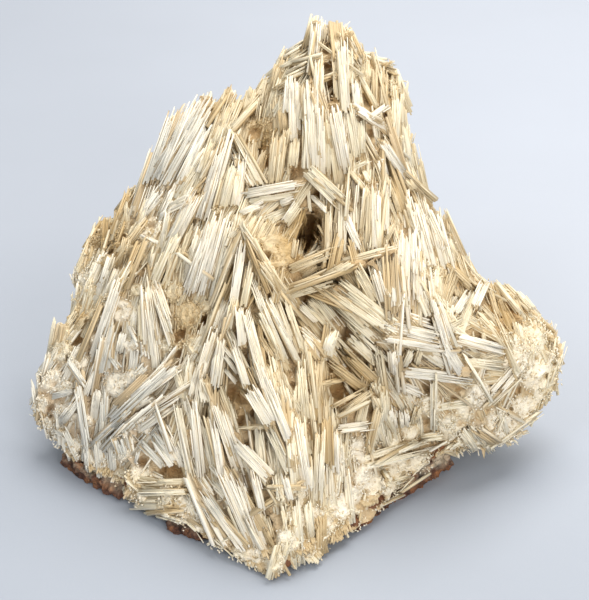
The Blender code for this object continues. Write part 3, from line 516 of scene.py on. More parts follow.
class StudioLooks(PropertyGroup):
    """Floor and light."""

    # Painted light: the floor is darker in front and lighter behind.
    floor_near: colour_setting("Near Floor", "Floor in front of the specimen", (0.345, 0.384, 0.457))
    floor_far: colour_setting("Far Floor", "Floor behind the specimen", (0.462, 0.505, 0.594))
    key: power_setting("Key Light", "Power of the lamp above", 15.0)
    fill: power_setting("Front Light", "Power of the lamp in front", 7.3)
    cool: power_setting("Left Light", "Power of the cool lamp on the left", 2.6)
    sky: FloatProperty(name="Sky", description="Strength of the light from all round", default=0.46, min=0.0)


# Places on the mass

def sight_line(across, down):
    """Start and direction of the line of sight through a pixel of the photograph."""
    forward = Vector((0, math.cos(VIEW_ELEVATION), -math.sin(VIEW_ELEVATION)))
    upward = Vector((0, math.sin(VIEW_ELEVATION), math.cos(VIEW_ELEVATION)))
    eye = VIEW_TARGET - forward * VIEW_DISTANCE
    right = Vector((1, 0, 0)) * (across - PHOTO_WIDTH / 2) * PIXEL_SPAN
    lift = upward * (PHOTO_HEIGHT / 2 - down) * PIXEL_SPAN
    return eye, (forward * VIEW_DISTANCE + right + lift).normalized()


def middle_sight():
    """The direction in which the photograph's camera looks."""
    return np.array(sight_line(PHOTO_WIDTH / 2, PHOTO_HEIGHT / 2)[1])


def pixels_of(places):
    """Three columns for places: the pixels at which the photograph's camera sees them, and how far off."""
    forward = np.array((0, math.cos(VIEW_ELEVATION), -math.sin(VIEW_ELEVATION)))
    upward = np.array((0, math.sin(VIEW_ELEVATION), math.cos(VIEW_ELEVATION)))
    offset = np.asarray(places) - (np.array(VIEW_TARGET) - forward * VIEW_DISTANCE)
    far = offset @ forward
    shrink = VIEW_DISTANCE / far / PIXEL_SPAN
    across = PHOTO_WIDTH / 2 + offset[..., 0] * shrink
    down = PHOTO_HEIGHT / 2 - offset @ upward * shrink
    return np.stack([across, down, far], axis=-1)


def merged_copy(node):
    """A mesh like a CAD node's, with its loose triangles joined at their corners."""
    bm = bmesh.new()
    bm.from_mesh(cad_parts[node].data)
    bmesh.ops.remove_doubles(bm, verts=bm.verts, dist=0.01 * MM)
    mesh = bpy.data.meshes.new(node + "_copy")
    bm.to_mesh(mesh)
    bm.free()
    return mesh


def skin_of(mesh):
    """The mesh's surface, ready to be asked for its nearest places."""
    places = [vertex.co.copy() for vertex in mesh.vertices]
    return BVHTree.FromPolygons(places, [tuple(face.vertices) for face in mesh.polygons])


def place_on(skin, across, down):
    """The place of the skin that a pixel shows, its normal, and the direction in which it is seen."""
    start, along = sight_line(across, down)
    place, normal = skin.ray_cast(start, along)[:2]
    if place is None:
        steps = [start + along * (VIEW_DISTANCE + step * MM) for step in range(*PASSING_SEARCH)]
        place = min(steps, key=lambda step: skin.find_nearest(step)[3])
        normal = skin.find_nearest(place)[1]
    return place, normal, along


def seen_from_display(skin, place):
    """Whether the photograph's camera sees that place of the mass."""
    eye = sight_line(0, 0)[0]
    line = Vector(place) - eye
    hit = skin.ray_cast(eye, line.normalized())[0]
    return hit is not None and (hit - eye).length > line.length - SEEN_REACH


def in_spots(pixels, spots, share=1.0):
    """For every pixel the number of the round spot that holds it, or -1, and how near its middle it is."""
    found = np.full(len(pixels), -1)
    near = np.zeros(len(pixels))
    for number, spot in enumerate(spots):
        gap = np.hypot(pixels[:, 0] - spot[0], pixels[:, 1] - spot[1]) / (spot[2] * share)
        closer = (gap < 1) & (1 - gap > near)
        found[closer] = number
        near[closer] = 1 - gap[closer]
    return found, near


# Laths as arrays

class Laths:
    """Rows of numbers, one for each lath, from which one joined mesh is made."""

    FIELDS = ("foot", "tip", "outward", "width", "thickness", "taper", "slant", "tone")

    def __init__(self):
        self.rows = {field: [] for field in self.FIELDS}
        self.openness = None

    def add(self, **values):
        """Adds laths: for each field an array with a row for each of them."""
        for field in self.FIELDS:
            self.rows[field].append(np.asarray(values[field], dtype=float))

    def joined(self, field):
        """All the rows of a field as one array."""
        return np.concatenate(self.rows[field])

    def axes(self):
        """For every lath its length and the three unit directions along, across and out of it."""
        axis = self.joined("tip") - self.joined("foot")
        length = np.linalg.norm(axis, axis=1)
        along = axis / length[:, None]
        side = np.cross(along, self.joined("outward"))
        side /= np.linalg.norm(side, axis=1)[:, None] + TINY
        return length, along, side, np.cross(side, along)

    def drop_below(self, height):
        """Leaves out the laths that reach lower than that height."""
        low = np.minimum(self.joined("foot")[:, 2], self.joined("tip")[:, 2])
        self.keep(low - self.joined("thickness") / 2 > height)

    def keep(self, stay):
        """Keeps the laths for which the array says so."""
        self.rows = {field: [self.joined(field)[stay]] for field in self.FIELDS}


# How the laths of a sheaf lie. Lengths are in mm, and shares are of the sheaf's length or of a lath's
# width. LATHS_A_STEP is how many laths break off together, and FRAY how unevenly they do, as a share of
# the break.
LATHS_A_STEP = 2.6
FRAY = 0.7
SHORTEST_SHEAF = 1.2
SHEAF_FAN = (-0.03, 0.09)
ROW_SHIFT = 0.2
ROW_DROP = 0.6
ROW_FRAY = 0.5
CROWN_DROP = 0.5
FOOT_STAGGER = 0.05
FOOT_SPAN = (-0.1, 0.2)
MOST_BROKEN = 0.6
LEAST_LENGTH = 0.25
LATH_STRAY = 0.004
LATH_LEAN = 0.006
LATH_ROLL = 0.07
LATH_OVERLAP = (0.94, 1.10)
POINTED_SHARE = 0.35
POINTED_TAPER = (0.2, 0.7)
BLUNT_TAPER = (0.0, 0.12)
BREAK_SLANT = 1.3
TONE_SPREAD = 0.05
# ROW_TONE and GROOVE_TONE darken the lower rows and the laths that lie deep in grooves: painted shade.
ROW_TONE = 0.05
GROOVE_TONE = 0.12


def broken_ends(draw, count, spread):
    """How much each lath of a row falls short of its sheaf's end: in steps of a few laths, and frayed."""
    steps = max(1, round(count / LATHS_A_STEP))
    shares = np.sort(draw.integers(0, steps, count))
    heights = np.abs(draw.normal(0, spread, steps))
    return heights[shares] + np.abs(draw.normal(0, spread * FRAY, count))


def sheaf_into(laths, draw, sheaf, sizes, lath_width):
    """Laths that lie close side by side, in a row or more one over another, with stepped broken ends."""
    foot, tip, outward, width, tone, rows = sheaf
    axis = tip - foot
    length = np.linalg.norm(axis)
    side = np.cross(axis, outward)
    if length < SHORTEST_SHEAF * MM or np.linalg.norm(side) < TINY:
        return
    axis = axis / length
    side = side / np.linalg.norm(side)
    up = np.cross(side, axis)
    fan = draw.uniform(*SHEAF_FAN)
    for row in range(rows):
        count = max(1, round(width / np.mean(lath_width)))
        widths = draw.uniform(*lath_width, count)
        widths *= width / widths.sum()
        edges = np.concatenate([[0], np.cumsum(widths)])
        centres = (edges[:-1] + edges[1:]) / 2 - edges[-1] / 2 + draw.normal(0, ROW_SHIFT * MM)
        deep = draw.uniform(sizes.depth_least, sizes.depth_most, count)
        groove = draw.random(count) < sizes.groove_share
        crown = -((np.abs(centres) / (width / 2 + MM)) ** 2) * CROWN_DROP * MM
        height = crown - row * ROW_DROP * MM + draw.normal(0, sizes.step, count)
        height = height - deep / 2 - groove * sizes.groove_depth
        spread = sizes.break_spread * (1 + ROW_FRAY * row)
        begin = draw.normal(0, FOOT_STAGGER, count).clip(*FOOT_SPAN)
        end = 1.0 - broken_ends(draw, count, spread).clip(0, MOST_BROKEN)
        if row == 0:
            end[draw.integers(0, count)] = 1.0
        part = centres * fan + draw.normal(0, LATH_STRAY, count) * length
        lean = draw.normal(0, LATH_LEAN, count) * length
        full = axis * length + side * part[:, None] + up * lean[:, None]
        base = foot + side * centres[:, None] + up * height[:, None]
        laths.add(
            foot=base + full * begin[:, None],
            tip=base + full * np.maximum(end, begin + LEAST_LENGTH)[:, None],
            outward=up + draw.normal(0, LATH_ROLL, (count, 3)),
            width=widths * draw.uniform(*LATH_OVERLAP, count),
            thickness=deep,
            taper=np.where(
                draw.random(count) < POINTED_SHARE,
                draw.uniform(*POINTED_TAPER, count),
                draw.uniform(*BLUNT_TAPER, count),
            ),
            slant=draw.normal(0, BREAK_SLANT, (count, 2)),
            tone=tone + draw.normal(0, TONE_SPREAD, count) - ROW_TONE * row - GROOVE_TONE * groove,
        )
    slivers_into(laths, draw, sheaf, sizes, (axis, side, up, length, fan))


# How the splinters of a sheaf lie: sizes in mm, begin, reach, end and stray as shares of the sheaf's
# length, and their tone's mean and spread over that of the sheaf. SLIVER_THINNING spaces them wider on
# grown sheaves.
SLIVER_THINNING = 1.4
SLIVER_BEGIN = (-0.05, 0.7)
SLIVER_REACH = (0.2, 0.65)
SLIVER_END = 1.04
SLIVER_LIFT = (-0.05, 0.22)
SLIVER_RISE = (0, 0.3)
SLIVER_STRAY = 0.012
SLIVER_ROLL = 0.25
SLIVER_WIDTH = (0.16, 0.42)
SLIVER_THICKNESS = (0.2, 0.45)
SLIVER_TAPER = (0.0, 0.8)
SLIVER_TONE = (0.03, 0.08)


def slivers_into(laths, draw, sheaf, sizes, frame_of_sheaf):
    """Thin splinters that lie along the top of a sheaf, and start and stop anywhere on it."""
    axis, side, up, length, fan = frame_of_sheaf
    spacing = sizes.sliver_spacing * (1.0 if sheaf.rows >= PLACED_ROWS else SLIVER_THINNING)
    count = round(sheaf.width * length / spacing**2)
    across = draw.uniform(-0.5, 0.5, count) * sheaf.width
    begin = draw.uniform(*SLIVER_BEGIN, count)
    reach = draw.uniform(*SLIVER_REACH, count)
    lift = draw.uniform(*SLIVER_LIFT, count) * MM
    full = axis * length + side * (across * fan + draw.normal(0, SLIVER_STRAY, count) * length)[:, None]
    base = sheaf.foot + side * across[:, None] + up * lift[:, None]
    end = base + full * np.minimum(begin + reach, SLIVER_END)[:, None]
    laths.add(
        foot=base + full * begin[:, None],
        tip=end + up * (draw.uniform(*SLIVER_RISE, count) * MM)[:, None],
        outward=up + draw.normal(0, SLIVER_ROLL, (count, 3)),
        width=draw.uniform(*SLIVER_WIDTH, count) * MM,
        thickness=draw.uniform(*SLIVER_THICKNESS, count) * MM,
        taper=draw.uniform(*SLIVER_TAPER, count),
        slant=draw.normal(0, BREAK_SLANT, (count, 2)),
        tone=sheaf.tone + draw.normal(*SLIVER_TONE, count),
    )


def lath_form(sides):
    """A unit lath of that many sides: across and through from -0.5 to 0.5, along from 0 to 1."""
    bm = bmesh.new()
    bmesh.ops.create_cone(bm, cap_ends=True, segments=sides, radius1=0.5, radius2=0.5, depth=1.0)
    turn = Matrix.Rotation(math.pi / sides, 4, "Z")
    bmesh.ops.transform(bm, matrix=Matrix.Translation((0, 0, 0.5)) @ turn, verts=bm.verts)
    reach = max(abs(vertex.co.x) for vertex in bm.verts)
    bmesh.ops.scale(bm, vec=(0.5 / reach, 0.5 / reach, 1), verts=bm.verts)
    return bm


def form_arrays(bm):
    """A form's corners, its faces' sizes and corners, and for each face corner its place round the form."""
    bm.verts.ensure_lookup_table()
    corners = np.array([vertex.co[:] for vertex in bm.verts])
    sizes = []
    loops = []
    places = []
    for face in bm.faces:
        sizes.append(len(face.verts))
        middle = face.calc_center_median()
        start = math.atan2(middle.y, middle.x) / (2 * math.pi)
        for vertex in face.verts:
            loops.append(vertex.index)
            turn = math.atan2(vertex.co.y, vertex.co.x) / (2 * math.pi)
            places.append((start + (turn - start + 0.5) % 1.0 - 0.5, vertex.co.z))
    bm.free()
    return corners, np.array(sizes), np.array(loops), np.array(places)


def lath_points(laths, corners):
    """Where the corners of a unit lath come to lie on every lath: laths by corners by three."""
    length, along, side, up = laths.axes()
    slant = laths.joined("slant")
    narrowing = 1.0 - laths.joined("taper")[:, None] * corners[:, 2]
    x = corners[:, 0] * laths.joined("width")[:, None] * narrowing
    y = corners[:, 1] * laths.joined("thickness")[:, None] * narrowing
    z = corners[:, 2] * (length[:, None] + x * slant[:, :1] + y * slant[:, 1:])
    points = laths.joined("foot")[:, None, :] + side[:, None, :] * x[..., None]
    return points + up[:, None, :] * y[..., None] + along[:, None, :] * z[..., None]


# The sides of a lath, how far its pattern runs round it for each mm of width, and over how much of the
# pattern the laths are spread. Last comes the openness that the side towards the mass lacks, so that
# this side takes painted shade.
LATH_SIDES = 4
PATTERN_GIRTH = 3
PATTERN_SPREAD = 97
UNDERSIDE_SHADE = 0.28


def mesh_of_laths(name, laths):
    """One mesh that repeats the unit lath for every row of the arrays."""
    corners, sizes, loops, places = form_arrays(lath_form(LATH_SIDES))
    points = lath_points(laths, corners)
    count = len(points)
    mesh = bpy.data.meshes.new(name)
    mesh.vertices.add(count * len(corners))
    mesh.loops.add(count * len(loops))
    mesh.polygons.add(count * len(sizes))
    mesh.vertices.foreach_set("co", points.reshape(-1).astype(np.float32))
    every = np.arange(count)[:, None]
    mesh.loops.foreach_set("vertex_index", (loops + every * len(corners)).reshape(-1).astype(np.int32))
    starts = np.concatenate([[0], np.cumsum(sizes)[:-1]])
    mesh.polygons.foreach_set("loop_start", (starts + every * len(loops)).reshape(-1).astype(np.int32))
    mesh.update(calc_edges=True)
    spread = np.random.default_rng(SEED).random(count)
    girth = laths.joined("width") * PATTERN_GIRTH / MM
    turned = places[:, 0] * girth[:, None] + (spread * PATTERN_SPREAD)[:, None]
    lengthwise = places[:, 1] * laths.axes()[0][:, None] / MM
    uv = np.stack([turned, lengthwise], axis=-1).reshape(-1).astype(np.float32)
    mesh.uv_layers.new(name="lath").data.foreach_set("uv", uv)
    put(mesh, "tone", np.repeat(laths.joined("tone").clip(*TONE_SPAN), len(corners)))
    share = corners[:, 2]
    openness = laths.openness[:, :1] * (1 - share) + laths.openness[:, 1:] * share
    # Painted shade: the side of a lath towards the mass counts as less open, and browns.
    openness = openness - UNDERSIDE_SHADE * (corners[:, 1] < 0)
    put(mesh, "openness", openness.reshape(-1))
    return mesh


def put(mesh, name, values):
    """Writes one number for each of the mesh's points."""
    attribute = mesh.attributes.new(name, "FLOAT", "POINT")
    attribute.data.foreach_set("value", values.astype(np.float32))


# How openness is felt for: how far the rays reach, their rings (how far out, from 0 to 1, and how many
# rays), the tilt of the outermost, the places along a lath that they start from, and how far over it in
# mm.
OPEN_REACH = 11 * MM
SKY_RINGS = ((0.2, 2), (0.8, 4))
SKY_TILT = 1.2
RAY_STARTS = (0.2, 0.85)
RAY_LIFT = 0.15


def sky_rays():
    """Directions over the half of a sphere that faces +Z, evenly spread."""
    rays = []
    for ring, count in SKY_RINGS:
        tilt = ring * SKY_TILT
        for step in range(count):
            turn = 2 * math.pi * (step + ring) / count
            rays.append((math.sin(tilt) * math.cos(turn), math.sin(tilt) * math.sin(turn), math.cos(tilt)))
    return np.array(rays)


def crossed_quads(corners):
    """Two quads that cross inside a lath of four sides and shade as it does."""
    def turn_of(index):
        x, y, z = corners[index]
        return round(z), math.atan2(y, x)

    order = sorted(range(len(corners)), key=turn_of)
    low, high = order[:4], order[4:]
    return np.array([[low[turn], low[turn + 2], high[turn + 2], high[turn]] for turn in (0, 1)])


def shading_tree(batches, core, corners):
    """A search tree of the core and of two quads for every lath."""
    quads = crossed_quads(corners)
    places = [np.array([vertex.co[:] for vertex in core.vertices])]
    faces = [tuple(face.vertices) for face in core.polygons]
    start = len(places[0])
    for laths in batches:
        points = lath_points(laths, corners)
        places.append(points.reshape(-1, 3))
        index = quads + (np.arange(len(points)) * len(corners))[:, None, None] + start
        faces.extend(map(tuple, index.reshape(-1, 4).tolist()))
        start += len(points) * len(corners)
    return BVHTree.FromPolygons(np.concatenate(places).tolist(), faces)


def find_openness(batches, core):
    """Gives every lath how open its foot and its tip lie to the air, from 0 to 1."""
    tree = shading_tree(batches, core, form_arrays(lath_form(LATH_SIDES))[0])
    rays = sky_rays()
    for laths in batches:
        length, along, side, up = laths.axes()
        foot = laths.joined("foot")
        rise = up * (laths.joined("thickness") / 2 + RAY_LIFT * MM)[:, None]
        seen = np.zeros((len(foot), 2))
        turned = rays[None, :, 0, None] * side[:, None] + rays[None, :, 1, None] * along[:, None]
        turned = turned + rays[None, :, 2, None] * up[:, None]
        for end, share in enumerate(RAY_STARTS):
            starts = foot + along * (length * share)[:, None] + rise
            for index in range(len(foot)):
                begin = Vector(starts[index])
                clear = 0.0
                for ray in turned[index]:
                    gap = tree.ray_cast(begin, Vector(ray), OPEN_REACH)[3]
                    clear += 1.0 if gap is None else gap / OPEN_REACH
                seen[index, end] = clear / len(rays)
        laths.openness = seen


# Sheaves

# The rows of laths in a placed sheaf, and how far its tip is lifted beyond its stand, in mm.
PLACED_ROWS = 3
TIP_LIFT = 0.4


def placed_sheaves(skin, sizes):
    """Every sheaf of the display side, from the pixels of its foot and tip."""
    made = []
    for region in SHEAVES.values():
        for tone, group in region.items():
            for foot_x, foot_y, tip_x, tip_y, width, stand in group:
                foot, foot_normal, foot_sight = place_on(skin, foot_x, foot_y)
                tip, tip_normal, tip_sight = place_on(skin, tip_x, tip_y)
                foot = foot + foot_sight * (sizes.foot_sink - stand * MM)
                tip = tip - tip_sight * (stand * MM + TIP_LIFT * MM)
                outward = (foot_normal + tip_normal - foot_sight).normalized()
                ends = [np.array(part) for part in (foot, tip, outward)]
                made.append(Sheaf(*ends, width * PIXEL_SPAN, TONES[tone], PLACED_ROWS))
    return made


def sampled(mesh, count, seed):
    """Random places of a mesh with their normals, spread evenly over its area."""
    draw = np.random.default_rng(seed)
    mesh.calc_loop_triangles()
    points = np.array([vertex.co[:] for vertex in mesh.vertices])
    triangles = np.array([tri.vertices[:] for tri in mesh.loop_triangles])
    a, b, c = (points[triangles[:, corner]] for corner in range(3))
    normal = np.cross(b - a, c - a)
    area = np.linalg.norm(normal, axis=1)
    pick = draw.choice(len(area), size=count, p=area / area.sum())
    u, v = draw.random((2, count))
    flip = u + v > 1
    u, v = np.where(flip, 1 - u, u), np.where(flip, 1 - v, v)
    place = a[pick] + (b[pick] - a[pick]) * u[:, None] + (c[pick] - a[pick]) * v[:, None]
    return place, normal[pick] / area[pick][:, None]


def thinned_out(places, spacing):
    """Indexes of places that keep at least that distance from each other."""
    kept = []
    cells = {}
    reach = (-1, 0, 1)
    for index, place in enumerate(places):
        key = (place // spacing).astype(int)
        around = [(key[0] + x, key[1] + y, key[2] + z) for x in reach for y in reach for z in reach]
        near = [other for cell in around for other in cells.get(cell, ())]
        if all(np.sum((places[other] - place) ** 2) > spacing**2 for other in near):
            cells.setdefault(tuple(key), []).append(index)
            kept.append(index)
    return kept


class Grain:
    """The direction and tone that the placed sheaves give to the laths between them."""

    # How far a sheaf's direction is felt, and the summit that laths point to where no sheaf is near.
    REACH = 11 * MM
    SUMMIT = np.array((0.008, 0.03, 0.135))
    SUMMIT_PULL = 0.04
    CREAM_PULL = 0.3

    def __init__(self, sheaves):
        self.middles = np.array([(sheaf.foot + sheaf.tip) / 2 for sheaf in sheaves])
        lines = np.array([sheaf.tip - sheaf.foot for sheaf in sheaves])
        self.lines = lines / np.linalg.norm(lines, axis=1)[:, None]
        self.tones = np.array([sheaf.tone for sheaf in sheaves])

    def at(self, place):
        """The line along which laths grow at a place, towards their tips, and their tone."""
        gap = np.linalg.norm(self.middles - place, axis=1)
        weight = np.exp(-((gap / self.REACH) ** 2))
        rise = self.SUMMIT - place
        rise = rise / np.linalg.norm(rise)
        spread = (self.lines * weight[:, None]).T @ self.lines + np.outer(rise, rise) * self.SUMMIT_PULL
        line = np.linalg.eigh(spread)[1][:, -1]
        if line @ rise < 0:
            line = -line
        tone = self.tones @ weight + TONES["cream"] * self.CREAM_PULL
        return line, tone / (weight.sum() + self.CREAM_PULL)


# How far from a placed sheaf's rim a pixel still counts as on it, in pixels.
COVER_MARGIN = 1.5


def covered(pixel, ends, widths):
    """Whether a pixel lies on one of the sheaves whose ends are given in pixels."""
    start, stop = ends[:, 0], ends[:, 1]
    line = stop - start
    share = ((pixel[:2] - start) * line).sum(1) / (line**2).sum(1)
    gap = np.linalg.norm(start + line * share.clip(0, 1)[:, None] - pixel[:2], axis=1)
    return bool((gap < widths / 2 + COVER_MARGIN).any())


# How grown sheaves start: the places tried, the underside that stays bare (how far it faces down, and how
# low it lies in mm), how far over the skin a place is looked at in mm, how steep the grain may stand on
# the skin and the direction that replaces it, what the display side has less of, the angle of twins, and
# in mm how far the skin may fall away under them and how deep they are rooted.
LAYER_PLACES = 30000
BARE_NORMAL = -0.75
BARE_HEIGHT = 4
SKIN_GAP = 0.3
STEEP_GRAIN = 0.1
CROSSWISE = (1.0, 0.2, 0.1)
SEEN_STRAY = 0.6
SEEN_TWINS = 0.3
SEEN_LENGTH = 0.75
TWIN_ANGLE = math.radians(58)
BRIDGE_GAP = 2.6
ROOTS = (0.6, 1.6)


def grown_line(draw, line, normal, layer, seen):
    """The line of a grown sheaf: the grain laid on the skin, and turned a little, or to a twin's angle."""
    line = line - normal * (line @ normal)
    if np.linalg.norm(line) < STEEP_GRAIN:
        line = np.cross(normal, CROSSWISE)
    line = line / np.linalg.norm(line)
    turn = draw.normal(0, layer["stray"]) * (SEEN_STRAY if seen else 1.0)
    if draw.random() < layer["twins"] * (SEEN_TWINS * layer["over"] if seen else 1.0):
        turn += draw.choice((-1, 1)) * TWIN_ANGLE
    return line * math.cos(turn) + np.cross(normal, line) * math.sin(turn)


def grown_sheaves(skin, mesh, grain, placed, layer):
    """Sheaves all over the mass, along the grain or across it at a twin's angle."""
    draw = np.random.default_rng(layer["seed"])
    places, normals = sampled(mesh, LAYER_PLACES, layer["seed"] + LAYER_SPREAD_SEED)
    ends = pixels_of(np.array([[sheaf.foot, sheaf.tip] for sheaf in placed]))[..., :2]
    widths = np.array([sheaf.width for sheaf in placed]) / PIXEL_SPAN
    pixels = pixels_of(places)
    opening = in_spots(pixels, OPENINGS)[0]
    druse = in_spots(pixels, DRUSE, DRUSE_KEPT_BARE)[0]
    toward = -middle_sight()
    made = []
    for index in thinned_out(places, layer["spacing"]):
        place, normal = places[index], normals[index]
        if normal[2] < BARE_NORMAL and place[2] < BARE_HEIGHT * MM:
            continue
        seen = seen_from_display(skin, place + normal * SKIN_GAP * MM)
        if seen and opening[index] >= 0:
            continue
        if layer["over"] and druse[index] >= 0 and normal @ toward > SEEN_FACING:
            continue
        if seen and layer["over"] and covered(pixels[index], ends, widths):
            continue
        line, tone = grain.at(place)
        line = grown_line(draw, line, normal, layer, seen)
        half = draw.uniform(*layer["half"]) * (SEEN_LENGTH if seen and layer["over"] else 1.0) * MM
        foot = np.array(skin.find_nearest(Vector(place - line * half))[0])
        tip = np.array(skin.find_nearest(Vector(place + line * half))[0])
        middle = Vector((foot + tip) / 2)
        nearest, out, _, gap = skin.find_nearest(middle)
        if gap > BRIDGE_GAP * MM and (middle - nearest).dot(out) > 0:
            continue
        if seen and layer["over"]:
            along = pixels_of(np.array([foot, (foot + tip) / 2, tip]))
            if sum(covered(pixel, ends, widths) for pixel in along) >= layer["rows"]:
                continue
        foot = foot - normal * draw.uniform(*ROOTS) * MM
        tip = tip + normal * draw.uniform(*layer["stand"]) * MM
        shade = tone * draw.uniform(*layer["tone"])
        made.append(Sheaf(foot, tip, normal, draw.uniform(*layer["width"]) * MM, shade, layer["rows"]))
    return made


# How the grains of druse lie: the places tried, the share kept at a patch's rim, how much more in its
# middle and how many elsewhere, and the underside that stays bare. Half length, lift, sink, width and
# thickness are in mm.
GRAIN_PLACES = 150000
GRAINS_AT_RIM = 0.2
GRAINS_AT_MIDDLE = 0.5
GRAINS_ELSEWHERE = 0.012
GRAIN_BARE_NORMAL = -0.9
GRAIN_FLATNESS = 0.6
GRAIN_RISE = 0.1
GRAIN_HALF = (0.15, 0.42)
GRAIN_LIFT = (-0.3, 0.35)
GRAIN_SINK_ROUND = 1.6
GRAIN_SINK_ELSEWHERE = 0.7
GRAIN_WIDTH = (0.2, 0.6)
GRAIN_THICKNESS = (0.2, 0.5)
GRAIN_TAPER = (0.0, 0.45)
GRAIN_SLANT = 0.5
GRAIN_TONE_SPREAD = 0.06
GRAIN_TONE_ELSEWHERE = 0.8
GRAIN_OPENNESS = 0.25


def druse_grains(mesh, skin, grain):
    """Small stubby crystals that stand on the mass, thick in the patches of druse."""
    draw = np.random.default_rng(GRAIN_SEED)
    places, normals = sampled(mesh, GRAIN_PLACES, GRAIN_SPREAD_SEED)
    number, near = in_spots(pixels_of(places), DRUSE, DRUSE_GROWN)
    inside = (number >= 0) & (draw.random(len(places)) < GRAINS_AT_RIM + GRAINS_AT_MIDDLE * near)
    for index in np.flatnonzero(inside):
        inside[index] = seen_from_display(skin, places[index])
    elsewhere = (draw.random(len(places)) < GRAINS_ELSEWHERE) & (normals[:, 2] > GRAIN_BARE_NORMAL)
    keep = inside | elsewhere
    place, normal = places[keep], normals[keep]
    spots = np.array([spot[3] for spot in DRUSE])
    tone = np.where(inside[keep], spots[number[keep]], -1.0)
    outside = tone < 0
    tone[outside] = np.array([grain.at(spot)[1] for spot in place[outside]]) * GRAIN_TONE_ELSEWHERE
    count = len(place)
    direction = draw.normal(0, 1, (count, 3))
    direction -= normal * (np.sum(direction * normal, axis=1) * GRAIN_FLATNESS - GRAIN_RISE)[:, None]
    direction /= np.linalg.norm(direction, axis=1)[:, None]
    half = draw.uniform(*GRAIN_HALF, count) * MM
    facing = (normal @ -middle_sight()).clip(0, 1)
    sink = np.where(inside[keep], GRAIN_SINK_ROUND * (1 - facing) ** 2, GRAIN_SINK_ELSEWHERE)
    lift = draw.uniform(*GRAIN_LIFT, count) - sink
    middle = place + normal * (lift * MM)[:, None]
    laths = Laths()
    laths.add(
        foot=middle - direction * half[:, None],
        tip=middle + direction * half[:, None],
        outward=np.cross(direction, draw.normal(0, 1, (count, 3))),
        width=draw.uniform(*GRAIN_WIDTH, count) * MM,
        thickness=draw.uniform(*GRAIN_THICKNESS, count) * MM,
        taper=draw.uniform(*GRAIN_TAPER, count),
        slant=draw.normal(0, GRAIN_SLANT, (count, 2)),
        tone=tone + draw.normal(0, GRAIN_TONE_SPREAD, count),
    )
    return laths


# The core and the rock

# How often a rough copy's mesh is smoothed, and how many sizes of lumps its noise has.
SMOOTHINGS = 3
NOISE_OCTAVES = 4


def roughened_copy(node, name, sizes, seed):
    """A rough copy of a CAD node: remeshed, drawn in, and displaced by noise."""
    obj = bpy.data.objects.new(name, merged_copy(node))
    bpy.context.scene.collection.objects.link(obj)
    remesh = obj.modifiers.new("remesh", "REMESH")
    remesh.mode = "VOXEL"
    remesh.voxel_size = sizes.voxel
    bpy.context.view_layer.update()
    evaluated = obj.evaluated_get(bpy.context.evaluated_depsgraph_get())
    mesh = bpy.data.meshes.new_from_object(evaluated)
    bpy.data.objects.remove(obj)
    mesh.name = name
    bm = bmesh.new()
    bm.from_mesh(mesh)
    for _ in range(SMOOTHINGS):
        bmesh.ops.smooth_vert(
            bm, verts=bm.verts, factor=0.5, use_axis_x=True, use_axis_y=True, use_axis_z=True
        )
    bm.normal_update()
    offset = Vector((seed, seed * 0.7, seed * 1.3))
    for vertex in bm.verts:
        wave = noise.fractal(vertex.co / sizes.span + offset, 1.0, 2.0, NOISE_OCTAVES)
        vertex.co += vertex.normal * (wave * sizes.height - sizes.inset)
        vertex.co.z = max(vertex.co.z, 0.0)
    bm.to_mesh(mesh)
    bm.free()
    return mesh


# What the spots do to the core: its own stain and painted shade (it lies between the laths) and its tone,
# the cleanest tone, how far druse lifts it, how steeply stain, lift and depth grow from a spot's rim
# inwards, and the depth in mm at which an opening is all stained and shaded, as painted shade.
CORE_STAIN_AND_SHADE = 0.5
CORE_TONE = 0.2
CLEANEST_CORE = 0.95
DRUSE_RISE = 2.2 * MM
RUST_SLOPE = 2.5
DRUSE_SLOPE = 3
OPENING_SLOPE = 1.6
STAIN_AND_SHADE_DEPTH = 5


def hollow_out(core, skin):
    """Pushes the core in where the sheaves leave openings, lifts its druse, and marks both on its points."""
    places = np.array([vertex.co[:] for vertex in core.vertices])
    pixels = pixels_of(places)
    number, near = in_spots(pixels, OPENINGS, OPENING_PUSHED)
    patch, near_patch = in_spots(pixels, DRUSE, DRUSE_GROWN)
    rusty, near_rust = in_spots(pixels, RUST, RUST_STAINED)
    rust = np.zeros(len(places))
    # The core lies between the laths: all of it takes stain and painted shade, druse less, openings more.
    hollow = np.full(len(places), CORE_STAIN_AND_SHADE)
    tone = np.full(len(places), CORE_TONE)
    change = shade_at(pixels)
    for index in np.flatnonzero((number >= 0) | (patch >= 0) | (rusty >= 0) | (change != 0)):
        if not seen_from_display(skin, places[index]):
            continue
        away = np.array(sight_line(*pixels[index, :2])[1])
        rust[index] = min(1.0, near_rust[index] * RUST_SLOPE)
        tone[index] += change[index]
        if patch[index] >= 0 and rusty[index] < 0:
            share = min(1.0, near_patch[index] * DRUSE_SLOPE)
            tone[index] += (DRUSE[patch[index]][3] - CORE_TONE) * share
            places[index] -= away * share * DRUSE_RISE
            hollow[index] *= 1.0 - share
        if number[index] >= 0:
            share = min(1.0, near[index] * OPENING_SLOPE)
            depth = OPENINGS[number[index]][3]
            places[index] += away * depth * share * MM
            hollow[index] = max(hollow[index], share * min(1.0, depth / STAIN_AND_SHADE_DEPTH))
        core.vertices[index].co = places[index]
    put(core, "tone", tone.clip(TONE_SPAN[0], CLEANEST_CORE))
    put(core, "hollow", hollow)
    put(core, "rust", rust)


